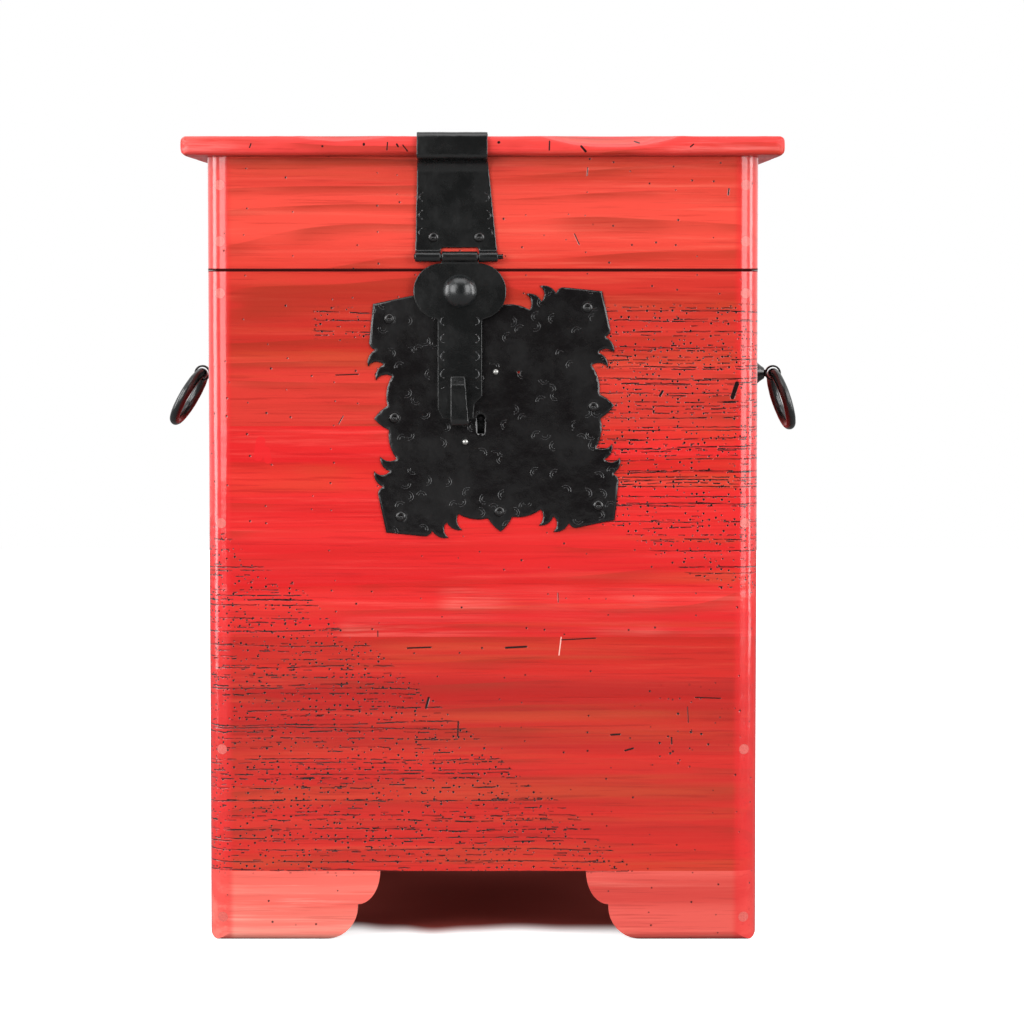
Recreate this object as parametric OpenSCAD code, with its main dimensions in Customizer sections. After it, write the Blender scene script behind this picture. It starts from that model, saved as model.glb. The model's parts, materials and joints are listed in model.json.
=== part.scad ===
// Tall lidded chest of stained pine boards on bracket feet, with a wrought-iron hasp,
// a pierced lock plate and a ring handle on each side.
// Millimetres. X runs to the right, Y to the back, Z up. The origin is on the floor,
// under the middle of the case.

/* [Case] */
// Width of the case across its front
case_w = 439; // [400:1:600]
// Depth of the case from front to back
case_d = 400; // [320:1:520]
// Thickness of the wall boards
board_t = 21; // [20:0.5:26]
// Radius of the case's upright corners
corner_r = 18; // [8:0.5:19]
// Height of the lower wall boards
lower_h = 188.5; // [150:1:240]
// Height of the middle wall boards
middle_h = 168.5; // [140:1:220]
// Height of the upper wall boards
upper_h = 123.7; // [115:0.1:160]
// Thickness of the bottom boards
bottom_t = 14; // [9:0.5:20]
// Width and height of the cleats under the bottom
cleat_size = 18; // [12:1:24]

/* [Feet] */
// Height of the foot blocks, which is the height of the arch
foot_h = 56; // [46:1:80]
// Length of a front or back foot along its top
foot_top_l = 137; // [100:1:160]
// Length of a side foot along its top, inside the front foot
side_foot_l = 96; // [80:1:120]
// Width of the upper quarter round on a foot
ovolo_upper_w = 18; // [10:1:26]
// Width of the lower quarter round on a foot
ovolo_lower_w = 28; // [16:1:34]
// Height of the small step between the quarter rounds
ovolo_step = 2; // [1:0.5:5]
// Radius of the feet's lower outer edges
foot_edge_r = 7; // [3:0.5:9]

/* [Lid] */
// Thickness of the lid's top boards
lid_top_t = 16.3; // [14:0.1:24]
// How far the top stands out past the case on every side
overhang = 20; // [12:1:30]
// Height of the lid's rails
rail_h = 89.5; // [70:1:120]
// Gap between the closed lid and the case
lid_gap = 0.8; // [0.4:0.1:0.9]
// Radius along the edges of the lid's top
lid_edge_r = 5; // [2:0.5:6]
// Radius of the top's corners, seen from above
lid_corner_r = 9; // [4:0.5:12]
// Width of the shallow scoop on the left of the front edge
scoop_left_w = 92; // [60:1:100]
// Place of the left scoop's middle, from the lid's middle
scoop_left_x = 111; // [90:1:120]
// Depth of the left scoop
scoop_left_depth = 4; // [2:0.5:6]
// Width of the deep scoop on the right of the front edge
scoop_right_w = 118; // [80:1:130]
// Place of the right scoop's middle, from the lid's middle
scoop_right_x = 101; // [90:1:110]
// Depth of the right scoop
scoop_right_depth = 9; // [4:0.5:10]

/* [Screws and plugs] */
// Radius of the wooden plugs
plug_r = 4; // [3.5:0.1:5]
// Length of the wooden plugs
plug_l = 5; // [3:0.5:8]
// Length of the screws in the case and the lid's rails
case_screw_l = 45; // [35:1:60]
// Shank radius of the case's screws
case_screw_r = 2; // [1.5:0.1:2.5]
// Gap around a screw or a plug in its hole
screw_fit = 0.1; // [0.05:0.01:0.2]
// Length of the small screws in the ironwork
iron_screw_l = 15; // [10:1:17]
// Shank radius of the small screws
iron_screw_r = 1.6; // [1.2:0.1:2]
// Head radius of the small screws
iron_head_r = 3.8; // [3:0.1:4.4]

/* [Hasp] */
// Place of the hasp's middle, from the case's middle
hasp_x = -18.2; // [-40:0.1:40]
// Thickness of the strap and the hasp
hasp_t = 2.6; // [2:0.1:3.5]
// Width of the strap at the top of the lid
strap_top_w = 56; // [46:1:70]
// Width of the strap at its knuckles
strap_low_w = 66; // [56:1:80]
// Length of the strap on the top of the lid
strap_reach = 58; // [40:1:90]
// Height of the hasp's pin above the lid's lower edge
pin_rise = 10.2; // [8:0.2:16]
// Radius of the hasp's pin
pin_r = 2; // [1.5:0.1:2.2]
// Outer radius of the hasp's knuckles
knuckle_r = 4.4; // [4:0.1:5.5]
// Running gap between a pin and its knuckles
pin_fit = 0.06; // [0.02:0.01:0.1]
// Width of the hasp's own knuckle
hasp_knuckle_w = 29; // [20:1:34]
// Gap between neighbouring knuckles
knuckle_gap = 0.4; // [0.3:0.1:0.8]
// Width of the hasp's oval head
head_w = 74.2; // [60:0.2:84]
// Height of the hasp's oval head
head_h = 45; // [40:1:52]
// Gap between the oval head and the strap's knuckles
head_gap = 0.6; // [0.5:0.1:2]
// Width of the hasp's tongue
tongue_w = 35.5; // [26:0.5:42]
// Width of the tongue's end, where the finger pull folds up
tip_w = 15; // [11:0.5:20]
// Height of the finger pull
pull_h = 41; // [30:1:46]
// Clear space behind the finger pull
pull_gap = 6.5; // [5:0.5:9]
// Radius of the dome stud
stud_r = 13.5; // [10:0.5:16]
// Height of the dome stud
stud_h = 8; // [5:0.5:10]

/* [Lock] */
// Distance from the case's rim down to the middle of the lock plate
lock_drop = 112.4; // [112:0.2:130]
// Half the width of the lock plate over its corners
plate_half = 91.2; // [80:0.2:92]
// Thickness of the lock plate
plate_t = 1.6; // [1:0.1:2]
// How far the plate was put on askew
plate_tilt = 3.2; // [0:0.1:4]
// Place of the plate's middle, to the right of the keyhole
plate_dx = 10.6; // [8:0.2:16]
// Place of the plate's middle, above the keyhole
plate_dz = 5; // [2:0.5:8]
// Gap between the lock plate and the closed hasp
hasp_gap = 1.6; // [1.2:0.1:2]
// Place of the keyhole, to the right of the staple
key_dx = 16.5; // [15:0.5:20]
// Place of the keyhole, below the staple
key_dz = 15; // [12:0.5:18]
// Radius of the keyhole's round part
key_r = 3.2; // [2.8:0.1:4]
// Width of the keyhole's slot
key_slot_w = 5.4; // [4.8:0.1:6]
// Length of the keyhole's slot below its round part
key_slot_l = 12; // [10:0.5:14]
// Thickness of the lock case, into the board
lock_case_t = 12; // [10:0.5:14]
// Sheet thickness of the lock case
lock_wall = 1.5; // [1:0.1:2]
// Height of the lock bolt
bolt_h = 5.4; // [4.5:0.1:6]
// Thickness of the lock bolt
bolt_t = 2.6; // [2:0.1:2.6]
// Travel of the lock bolt
bolt_travel = 11; // [8:0.5:12]
// Gap around the lock bolt in its guide
bolt_fit = 0.2; // [0.1:0.05:0.3]

/* [Side handles] */
// Height of the handles' eyes above the floor
eye_z = 449.5; // [440:0.5:470]
// Distance from the case's left side to the middle of its ring's upper bar
left_eye_out = 19.4; // [19:0.2:30]
// Distance from the case's right side to the middle of its ring's upper bar
right_eye_out = 24.6; // [19:0.2:30]
// Radius of the ring, to the middle of its bar
ring_r = 23; // [22:0.5:30]
// Radius of the ring's bar
ring_bar_r = 4.4; // [3.5:0.1:4.5]
// Gap around the ring's bar in its eye
ring_fit = 0.7; // [0.6:0.1:1]
// Width of the eye
eye_w = 7; // [6:0.5:9]
// Wall of the eye
eye_wall = 1.8; // [1.8:0.1:2.6]
// How far the left ring leans out at rest
left_lean = 30; // [0:1:40]
// How far the right ring leans out at rest
right_lean = 18; // [0:1:40]
// How far a hanging ring is turned in its eye, its front outwards
ring_turn = 7.5; // [0:0.5:8]
// Radius of the rosette's base
rosette_r = 27; // [20:0.5:32]
// Radius of the eye's shank
shank_r = 3; // [2.5:0.1:3.4]

/* [Back hinges] */
// Distance from the case's side to the middle of a hinge
hinge_inset = 89.5; // [60:0.5:130]
// Width of a hinge
hinge_w = 60; // [50:1:80]
// Height of a hinge leaf
leaf_h = 42; // [36:1:50]
// Thickness of a hinge leaf
leaf_t = 2; // [1.5:0.1:2.5]
// Radius of a hinge pin
hinge_pin_r = 2.2; // [1.8:0.1:2.4]
// Outer radius of the hinge knuckles
hinge_knuckle_r = 4.4; // [4:0.1:5]

/* [Hidden] */
$fn = 64;

wood_red = [0.74, 0.13, 0.11];
wood_inside = [0.62, 0.24, 0.15];
plug_brown = [0.50, 0.16, 0.11];
iron = [0.09, 0.10, 0.10];
bright_iron = [0.45, 0.45, 0.43];

cut = 1;          // how far a cutter runs past a face
x_side = case_w / 2;
y_front = -case_d / 2;
y_back = case_d / 2;
inner_w = case_w - 2 * board_t;
inner_d = case_d - 2 * board_t;

// Heights of the joints between the boards
lower_z = foot_h;
middle_z = lower_z + lower_h;
upper_z = middle_z + middle_h;
rim_z = upper_z + upper_h;
rail_z = rim_z + lid_gap;
lid_under_z = rail_z + rail_h;
lid_top_z = lid_under_z + lid_top_t;

// The lid's top
lid_w = case_w + 2 * overhang;
lid_d = case_d + 2 * overhang;
y_lid_front = -lid_d / 2;
lid_board_d = lid_d / 3;
lid_screw_y = 0.9 * lid_board_d;

// Where the corner screws go: the middle of the side board behind a front board
corner_screw_x = x_side - board_t / 2;
foot_screw_z = [foot_h / 3];
lower_screw_z = [lower_z + 0.52 * lower_h];
middle_screw_z = [middle_z + 0.54 * middle_h];
upper_screw_z = [rim_z - 18];
case_screw_z = concat(foot_screw_z, lower_screw_z, middle_screw_z, upper_screw_z);
rail_screw_z = [rail_z + rail_h / 4, rail_z + rail_h * 3 / 4];

// The hasp
pin_z = rail_z + pin_rise;
pin_y = y_front - knuckle_r - 0.3;
strap_mid_x = hasp_x - 2.7;
strap_top_x = hasp_x - 5.8;
tongue_back = y_front - plate_t - hasp_gap;
tongue_front = tongue_back - hasp_t;
head_z = pin_z - knuckle_r - head_gap - head_h / 2;

// The lock
lock_z = rim_z - lock_drop;
key_x = hasp_x + key_dx;
key_z = lock_z - plate_dz;
staple_z = key_z + key_dz;
plate_x = key_x + plate_dx;
tip_z = staple_z - 21.5;
bolt_y = y_front + bolt_fit;

// The staple behind the tongue, which takes the bolt
staple_t = 3;
staple_bar = 2.2;
staple_hole_h = bolt_h + 1.8;
staple_h = staple_hole_h + 2 * 2.4;
staple_out = plate_t + hasp_gap + bolt_fit + bolt_t + 0.6 + staple_bar;
staple_slot_w = staple_t + 2;
staple_slot_h = staple_h + 2.6;

// The lock case in its mortise
lock_case_w = 56;
lock_case_h = 78;
lock_case_x = hasp_x + 14;
lock_case_z = lock_z;
mortise_fit = 0.15;
drill_pin_r = 1.4;

// The bolt, drawn back at rest, and its guide, which ends short of the bolt's tail when it is thrown
bolt_l = 28;
bolt_tail_w = 5;
bolt_tip_x = hasp_x + staple_t / 2 + 1.2;
guide_x = hasp_x + 8;
guide_l = bolt_tip_x + bolt_l - bolt_tail_w - bolt_travel - 0.6 - guide_x;

// The back hinges
hinge_x = x_side - hinge_inset;
hinge_y = y_back + hinge_knuckle_r + 0.3;
hinge_z = rim_z + lid_gap / 2;
hinge_mid_w = hinge_w / 3;

// Signs for the left and right side, and for the front and back wall
left = -1;
right = 1;
front = -1;
back = 1;

// ---- Helpers ----

// A cylinder along Y from y to y + l, centred on x and z
module rod_y(x, y, z, r, l) {
    translate([x, y, z]) rotate([-90, 0, 0]) cylinder(r = r, h = l);
}

// A cylinder along X from x to x + l, centred on y and z
module rod_x(x, y, z, r, l) {
    translate([x, y, z]) rotate([0, 90, 0]) cylinder(r = r, h = l);
}

// A box from its low corner to its high corner
module block(low, high) {
    translate(low) cube(high - low);
}

// A plain rounded rectangle about the origin
module rounded_rect(w, d, r) {
    square([w - 2 * r, d], center = true);
    square([w, d - 2 * r], center = true);
    for (sx = [-1, 1], sy = [-1, 1]) {
        translate([sx * (w / 2 - r), sy * (d / 2 - r)]) circle(r = r);
    }
}

// Points of an arc from a to b that bulges to the left of its path by the given height;
// a negative height bulges it to the right
function arc(a, b, height, steps = 6) =
    let (chord = norm(b - a),
         along = (b - a) / chord,
         side = [-along[1], along[0]],
         radius = (chord * chord / 4 + height * height) / (2 * abs(height)),
         half = asin(min(1, chord / (2 * radius))),
         sense = sign(height))
    [for (i = [0 : steps - 1])
        let (t = -half + 2 * half * i / steps)
        (a + b) / 2 + along * radius * sin(t) + side * sense * (radius * cos(t) - radius * cos(half))];

// A steel screw along +Z from its head's top at z = 0, with a countersunk head and a cross recess
module steel_screw(length, shank, head, recess = true) {
    head_h = head - shank;
    difference() {
        rotate_extrude() polygon([
            [0, 0], [head, 0], [shank, head_h], [shank, length - 2 * shank], [0, length]]);
        if (recess) {
            for (turn = [0, 90]) rotate(turn) {
                translate([-head * 0.6, -0.35, -cut]) cube([head * 1.2, 0.7, cut + head * 0.3]);
            }
        }
    }
}

// The hole for the same screw
module screw_hole(length, shank, head) {
    f = screw_fit;
    rotate_extrude() polygon([
        [0, -cut], [head + f, -cut], [head + f, 0], [shank + f, head - shank + f],
        [shank + f, length + f], [0, length + f]]);
}

// ---- Case ----

// Stands its children at a wall's corner screws, along +Z into the wall
module at_corner_screws(heights, wall) {
    for (sx = [left, right], z = heights) {
        translate([sx * corner_screw_x, wall * case_d / 2, z]) rotate([wall * 90, 0, 0]) children();
    }
}

// Stands its children at the screws that hold one board of the lid's top on the side rails
module at_top_screws(y) {
    for (sx = [left, right]) {
        translate([sx * corner_screw_x, y, lid_top_z]) rotate([180, 0, 0]) children();
    }
}

// A plugged screw: its hole, the screw and the plug
module plugged_hole() {
    translate([0, 0, -cut]) cylinder(r = plug_r + screw_fit / 2, h = cut + plug_l);
    translate([0, 0, plug_l]) screw_hole(case_screw_l, case_screw_r, plug_r - 0.4);
}

module plugged_screw() {
    translate([0, 0, plug_l + screw_fit]) steel_screw(case_screw_l, case_screw_r, plug_r - 0.4);
}

module plug() {
    cylinder(r = plug_r, h = plug_l);
}

// One board of a front or back wall, over the full width with the corners' round on its ends
module long_board(z, h, wall) {
    y_mid = wall * (case_d - board_t) / 2;
    intersection() {
        translate([0, 0, z]) linear_extrude(h) rounded_rect(case_w, case_d, corner_r);
        block([-case_w, y_mid - board_t / 2, z - cut], [case_w, y_mid + board_t / 2, z + h + cut]);
    }
}

// One board of a side wall, between the front and the back board
module side_board(z, h, side) {
    x_mid = side * (case_w - board_t) / 2;
    block([x_mid - board_t / 2, -inner_d / 2, z], [x_mid + board_t / 2, inner_d / 2, z + h]);
}

// What is let into the front boards for the lock and its plate
module front_ironwork_cuts() {
    half_w = lock_case_w / 2 + mortise_fit;
    half_h = lock_case_h / 2 + mortise_fit;
    block([lock_case_x - half_w, y_front - cut, lock_z - half_h],
          [lock_case_x + half_w, y_front + lock_case_t + mortise_fit, lock_z + half_h]);
    at_plate_screws() screw_hole(iron_screw_l, iron_screw_r, iron_head_r);
    at_rivets() translate([0, 0, -cut]) cylinder(r = rivet_r + screw_fit, h = rivet_l + 2 * cut);
}

module front_board(z, h, screw_z) {
    color(wood_red) difference() {
        long_board(z, h, front);
        at_corner_screws(screw_z, front) plugged_hole();
        if (z > lower_z) front_ironwork_cuts();
    }
}

module back_board(z, h, screw_z) {
    color(wood_red) difference() {
        long_board(z, h, back);
        at_corner_screws(screw_z, back) plugged_hole();
        if (z == upper_z) at_hinge_screws(case_leaf) screw_hole(iron_screw_l, iron_screw_r, iron_head_r);
    }
}

module side_wall_board(z, h, screw_z, side) {
    color(wood_red) difference() {
        side_board(z, h, side);
        at_corner_screws(screw_z, front) plugged_hole();
        at_corner_screws(screw_z, back) plugged_hole();
        if (z == upper_z) rod_x(side * x_side - 2 * board_t, 0, eye_z, shank_r + screw_fit, 4 * board_t);
    }
}

module wall_board(place, z, h, screw_z) {
    if (place == "front") front_board(z, h, screw_z);
    if (place == "back") back_board(z, h, screw_z);
    if (place == "left") side_wall_board(z, h, screw_z, left);
    if (place == "right") side_wall_board(z, h, screw_z, right);
}

module upper_board(place) { wall_board(place, upper_z, upper_h, upper_screw_z); }
module middle_board(place) { wall_board(place, middle_z, middle_h, middle_screw_z); }
module lower_board(place) { wall_board(place, lower_z, lower_h, lower_screw_z); }

// ---- Feet ----

// A quarter round in outline, from the left of its centre to straight below it
function quarter_round(centre, rx, rz) =
    [for (a = [0 : 10 : 90]) centre - [rx * cos(a), rz * sin(a)]];

// A foot in outline: two quarter rounds step in under the arch. The foot's outer end is at
// x = 0, and it runs to -x.
module foot_outline(top_l) {
    ovolo_h = (foot_h - ovolo_step) / 2;
    upper_c = [ovolo_upper_w - top_l, foot_h];
    lower_c = [ovolo_upper_w + ovolo_lower_w - top_l, ovolo_h];
    polygon(concat(
        [[0, foot_h]],
        quarter_round(upper_c, ovolo_upper_w, ovolo_h),
        quarter_round(lower_c, ovolo_lower_w, ovolo_h),
        [[0, 0]]));
}

// The case's foot zone in outline, w wide, with its lower edges rounded
module eased_outline(w) {
    r = foot_edge_r;
    translate([-w / 2, r]) square([w, foot_h - r]);
    translate([-w / 2 + r, 0]) square([w - 2 * r, foot_h]);
    for (sx = [left, right]) translate([sx * (w / 2 - r), r]) circle(r = r);
}

// The space that all feet lie in: the case's outline with eased lower edges all round
module foot_space() {
    intersection() {
        linear_extrude(foot_h) rounded_rect(case_w, case_d, corner_r);
        translate([0, case_d / 2, 0]) rotate([90, 0, 0]) linear_extrude(case_d) eased_outline(case_w);
        translate([-case_w / 2, 0, 0]) rotate([90, 0, 90]) linear_extrude(case_w) eased_outline(case_d);
    }
}

// A front or back foot, with the case's corner round on its outer end
module corner_foot(side, wall) {
    y_mid = wall * (case_d - board_t) / 2;
    color(wood_red) difference() {
        intersection() {
            foot_space();
            translate([0, y_mid + board_t / 2, 0]) rotate([90, 0, 0]) linear_extrude(board_t)
                mirror([side < 0 ? 1 : 0, 0]) translate([x_side, 0]) foot_outline(foot_top_l);
        }
        at_corner_screws(foot_screw_z, wall) plugged_hole();
    }
}

// A foot under a side wall, behind a front or back foot
module side_foot(side, wall) {
    x_mid = side * (case_w - board_t) / 2;
    color(wood_red) difference() {
        intersection() {
            foot_space();
            translate([x_mid - board_t / 2, 0, 0]) rotate([90, 0, 90]) linear_extrude(board_t)
                mirror([wall < 0 ? 1 : 0, 0]) translate([inner_d / 2, 0]) foot_outline(side_foot_l);
        }
        at_corner_screws(foot_screw_z, wall) plugged_hole();
    }
}

// ---- Bottom ----

// Half of the bottom, on the cleats
module bottom_board(wall) {
    gap = 0.3;
    y_low = wall < 0 ? -inner_d / 2 + gap : 0;
    z = foot_h + cleat_size;
    color(wood_inside) block(
        [-inner_w / 2 + gap, y_low, z], [inner_w / 2 - gap, y_low + inner_d / 2 - gap, z + bottom_t]);
}

// Four cleats round the inside of the lower boards
module bottom_cleats() {
    cleat_gap = 0.5;
    color(wood_inside) {
        for (wall = [front, back]) {
            translate([0, wall * (inner_d - cleat_size) / 2, foot_h + cleat_size / 2])
                cube([inner_w, cleat_size, cleat_size], center = true);
        }
        for (side = [left, right]) {
            translate([side * (inner_w - cleat_size) / 2, 0, foot_h + cleat_size / 2])
                cube([cleat_size, inner_d - 2 * (cleat_size + cleat_gap), cleat_size], center = true);
        }
    }
}

module case_screws() {
    color(iron) for (wall = [front, back]) at_corner_screws(case_screw_z, wall) plugged_screw();
}

// The plugs are cut off flush with the wall, also where they lie on a corner's round
module case_plugs() {
    color(plug_brown) intersection() {
        for (wall = [front, back]) at_corner_screws(case_screw_z, wall) plug();
        linear_extrude(rim_z) rounded_rect(case_w, case_d, corner_r);
    }
}

// ---- Lid ----

// A long straight cutter of the given radius that scoops the top front edge: its axis falls
// towards the front, so that the scoop fades out over the top
module edge_scoop(x, width, depth) {
    radius = (width * width / 4 + depth * depth) / (2 * depth);
    fall = 14;
    translate([x, y_lid_front, lid_top_z - depth]) rotate([-90 + fall, 0, 0])
        translate([0, -radius, -60]) cylinder(r = radius, h = 220, $fn = 180);
}

// The outline of the top's edge, seen along the edge: all four corners rounded
module edge_outline(w) {
    translate([0, lid_under_z + lid_top_t / 2]) rounded_rect(w, lid_top_t, lid_edge_r);
}

// The whole top, before it is parted into boards
module lid_top_slab() {
    intersection() {
        translate([-lid_w / 2, 0, 0]) rotate([90, 0, 90]) linear_extrude(lid_w) edge_outline(lid_d);
        translate([0, lid_d / 2, 0]) rotate([90, 0, 0]) linear_extrude(lid_d) edge_outline(lid_w);
        translate([0, 0, rail_z]) linear_extrude(2 * rail_h) rounded_rect(lid_w, lid_d, lid_corner_r);
    }
}

// One of the three boards of the top: place is -1 at the front, 0 in the middle, 1 at the back
module lid_board(place) {
    y_mid = place * lid_board_d;
    color(wood_red) difference() {
        intersection() {
            lid_top_slab();
            block([-lid_w, y_mid - lid_board_d / 2, lid_under_z - cut],
                  [lid_w, y_mid + lid_board_d / 2, lid_top_z + cut]);
        }
        at_top_screws(place * lid_screw_y) plugged_hole();
        if (place == front) {
            edge_scoop(-scoop_left_x, scoop_left_w, scoop_left_depth);
            edge_scoop(scoop_right_x, scoop_right_w, scoop_right_depth);
            at_strap_top_screws() screw_hole(iron_screw_l, iron_screw_r, iron_head_r);
        }
    }
}

module lid_rail(place) {
    color(wood_red) difference() {
        if (place == "front") long_board(rail_z, rail_h, front);
        if (place == "back") long_board(rail_z, rail_h, back);
        if (place == "left") side_board(rail_z, rail_h, left);
        if (place == "right") side_board(rail_z, rail_h, right);
        if (place != "back") at_corner_screws(rail_screw_z, front) plugged_hole();
        if (place != "front") at_corner_screws(rail_screw_z, back) plugged_hole();
        if (place == "left" || place == "right") {
            for (row = [front, 0, back]) at_top_screws(row * lid_screw_y) plugged_hole();
        }
        if (place == "front") at_strap_front_screws() screw_hole(iron_screw_l, iron_screw_r, iron_head_r);
        if (place == "back") at_hinge_screws(lid_leaf) screw_hole(iron_screw_l, iron_screw_r, iron_head_r);
    }
}

// Stands its children at every plugged screw of the lid
module at_lid_screws() {
    for (wall = [front, back]) at_corner_screws(rail_screw_z, wall) children();
    for (row = [front, 0, back]) at_top_screws(row * lid_screw_y) children();
}

module lid_screws() { color(iron) at_lid_screws() plugged_screw(); }

module lid_plugs() {
    color(plug_brown) intersection() {
        at_lid_screws() plug();
        union() {
            translate([0, 0, rail_z]) linear_extrude(rail_h) rounded_rect(case_w, case_d, corner_r);
            lid_top_slab();
        }
    }
}

// ---- Hasp ----

// Stands its children at the screws through the strap's front, along +Z into the wood
iron_proud = 0.4;
module at_strap_front_screws() {
    for (sx = [left, right]) {
        translate([strap_mid_x + sx * 18.2, y_front - hasp_t - iron_proud, pin_z + 15.5])
            rotate([-90, 0, 0]) children();
    }
}

// Stands its children at the screws through the strap's end on the top
module at_strap_top_screws() {
    for (sx = [left, right]) {
        translate([strap_top_x + sx * 16, y_lid_front + strap_reach - 13, lid_top_z + hasp_t + iron_proud])
            rotate([180, 0, 0]) children();
    }
}

// The part of a square corner that lies outside a round, with the corner at the origin
// and the round to the given sides
module corner_waste(sy, sz, r) {
    difference() {
        translate([min(0, sy * r) - (sy > 0 ? cut : 0), min(0, sz * r) - (sz > 0 ? cut : 0)]) square(r + cut);
        translate([sy * r, sz * r]) circle(r = r);
    }
}

// The strap seen from its side: up the lid's front rail, out under the overhang, round the
// front edge and back over the top
module strap_side_outline() {
    t = hasp_t;
    bend_r = 11;
    edge_r = lid_edge_r + 0.5;
    difference() {
        union() {
            translate([y_front - t, pin_z]) square([t, lid_under_z - pin_z]);
            translate([y_lid_front - t, lid_under_z - t]) square([overhang + t, t]);
            translate([y_lid_front - t, lid_under_z - t]) square([t, lid_top_t + 2 * t]);
            translate([y_lid_front - t, lid_top_z]) square([strap_reach + t, t]);
            translate([y_front - t, lid_under_z - t]) difference() {
                translate([-bend_r, -bend_r]) square(bend_r + 0.5);
                translate([-bend_r, -bend_r]) circle(r = bend_r);
            }
        }
        translate([y_lid_front - t, lid_top_z + t]) corner_waste(1, -1, edge_r);
        translate([y_lid_front - t, lid_under_z - t]) corner_waste(1, 1, edge_r - 1.5);
    }
}

// The strap that holds the hasp on the lid, with an open slot over the hasp's knuckle
module hasp_strap() {
    strap_slot_h = 2.4;
    low_x = strap_low_w / 2;
    top_x = strap_top_w / 2;
    notch_w = hasp_knuckle_w / 2 + knuckle_gap;
    color(iron) difference() {
        union() {
            intersection() {
                translate([-case_w, 0, 0]) rotate([90, 0, 90])
                    linear_extrude(2 * case_w) strap_side_outline();
                translate([0, case_d, 0]) rotate([90, 0, 0]) linear_extrude(2 * case_d) polygon([
                    [strap_mid_x - low_x, pin_z - cut], [strap_mid_x + low_x, pin_z - cut],
                    [strap_top_x + top_x, lid_under_z], [strap_top_x + top_x, lid_top_z + 2 * hasp_t],
                    [strap_top_x - top_x, lid_top_z + 2 * hasp_t], [strap_top_x - top_x, lid_under_z]]);
            }
            rod_x(strap_mid_x - low_x, pin_y, pin_z, knuckle_r, strap_low_w);
        }
        block([hasp_x - notch_w, pin_y - 2 * knuckle_r, pin_z - 2 * knuckle_r],
              [hasp_x + notch_w, y_front + cut, pin_z + knuckle_r + strap_slot_h]);
        rod_x(-case_w / 2, pin_y, pin_z, pin_r + pin_fit, case_w);
        at_strap_front_screws() screw_hole(iron_screw_l, iron_screw_r, iron_head_r);
        at_strap_top_screws() screw_hole(iron_screw_l, iron_screw_r, iron_head_r);
    }
}

module strap_screws() {
    color(iron) {
        at_strap_front_screws() steel_screw(iron_screw_l, iron_screw_r, iron_head_r);
        at_strap_top_screws() steel_screw(iron_screw_l, iron_screw_r, iron_head_r);
    }
}

// The pin stands out a little at the right of the knuckles
module hasp_pin() {
    color(iron) rod_x(strap_mid_x - strap_low_w / 2 - 0.6, pin_y, pin_z, pin_r, strap_low_w + 4.6);
}

// The hasp seen from the front, about its middle line: an oval head, a straight tongue and a
// tongue end that was cut unevenly down to the finger pull
module hasp_front_outline() {
    end_r = head_h / 2;
    half_w = tongue_w / 2;
    translate([0, head_z]) {
        square([head_w - head_h, head_h], center = true);
        for (sx = [left, right]) translate([sx * (head_w - head_h) / 2, 0]) circle(r = end_r);
    }
    translate([-hasp_knuckle_w / 2, head_z]) square([hasp_knuckle_w, pin_z - head_z]);
    polygon([
        [-half_w, head_z], [-half_w, tip_z + 14], [-half_w + 4, tip_z + 6], [-tip_w / 2, tip_z],
        [tip_w / 2, tip_z], [tip_w / 2 + 3, tip_z + 5], [half_w - 6, tip_z + 18], [half_w, tip_z + 24],
        [half_w, head_z]]);
}

// The fold and the finger pull seen from the side, in y and z
module finger_pull_outline() {
    fold_in = pull_gap / 2;
    fold_out = fold_in + hasp_t;
    fold_z = tip_z + fold_out;
    y_mid = tongue_front - fold_in;
    curl = 8;
    difference() {
        translate([y_mid, fold_z]) circle(r = fold_out);
        translate([y_mid, fold_z]) circle(r = fold_in);
        translate([y_mid - 2 * fold_out, fold_z]) square(4 * fold_out);
    }
    translate([y_mid - fold_out, fold_z - 0.01]) square([hasp_t, pull_h - fold_out - curl + 0.01]);
    translate([y_mid + fold_in, fold_z - 0.01]) square([hasp_t, 4]);
    translate([y_mid - fold_out, tip_z + pull_h - curl - 0.5]) rotate(-24) square([hasp_t, curl + 0.5]);
}

// The hasp that swings on the pin
module hasp_tongue() {
    fold_z = tip_z + pull_gap / 2 + hasp_t;
    color(iron) difference() {
        union() {
            intersection() {
                translate([hasp_x, tongue_back, 0]) rotate([90, 0, 0])
                    linear_extrude(hasp_t) hasp_front_outline();
                block([-case_w, tongue_front - cut, fold_z], [case_w, tongue_back + cut, pin_z]);
            }
            rod_x(hasp_x - hasp_knuckle_w / 2, pin_y, pin_z, knuckle_r, hasp_knuckle_w);
            intersection() {
                translate([hasp_x - tip_w, 0, 0]) rotate([90, 0, 90])
                    linear_extrude(2 * tip_w) finger_pull_outline();
                translate([hasp_x, 0, 0]) rotate([90, 0, 0]) linear_extrude(case_d) polygon([
                    [-tip_w / 2, tip_z - cut], [tip_w / 2, tip_z - cut],
                    [tip_w / 2 - 3.5, tip_z + pull_h + cut], [-tip_w / 2, tip_z + pull_h + cut]]);
            }
        }
        rod_x(hasp_x - hasp_knuckle_w, pin_y, pin_z, pin_r + pin_fit, 2 * hasp_knuckle_w);
        rod_y(hasp_x, tongue_front - cut, head_z, stud_shank_r + screw_fit, hasp_t + 2 * cut);
    }
}

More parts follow.
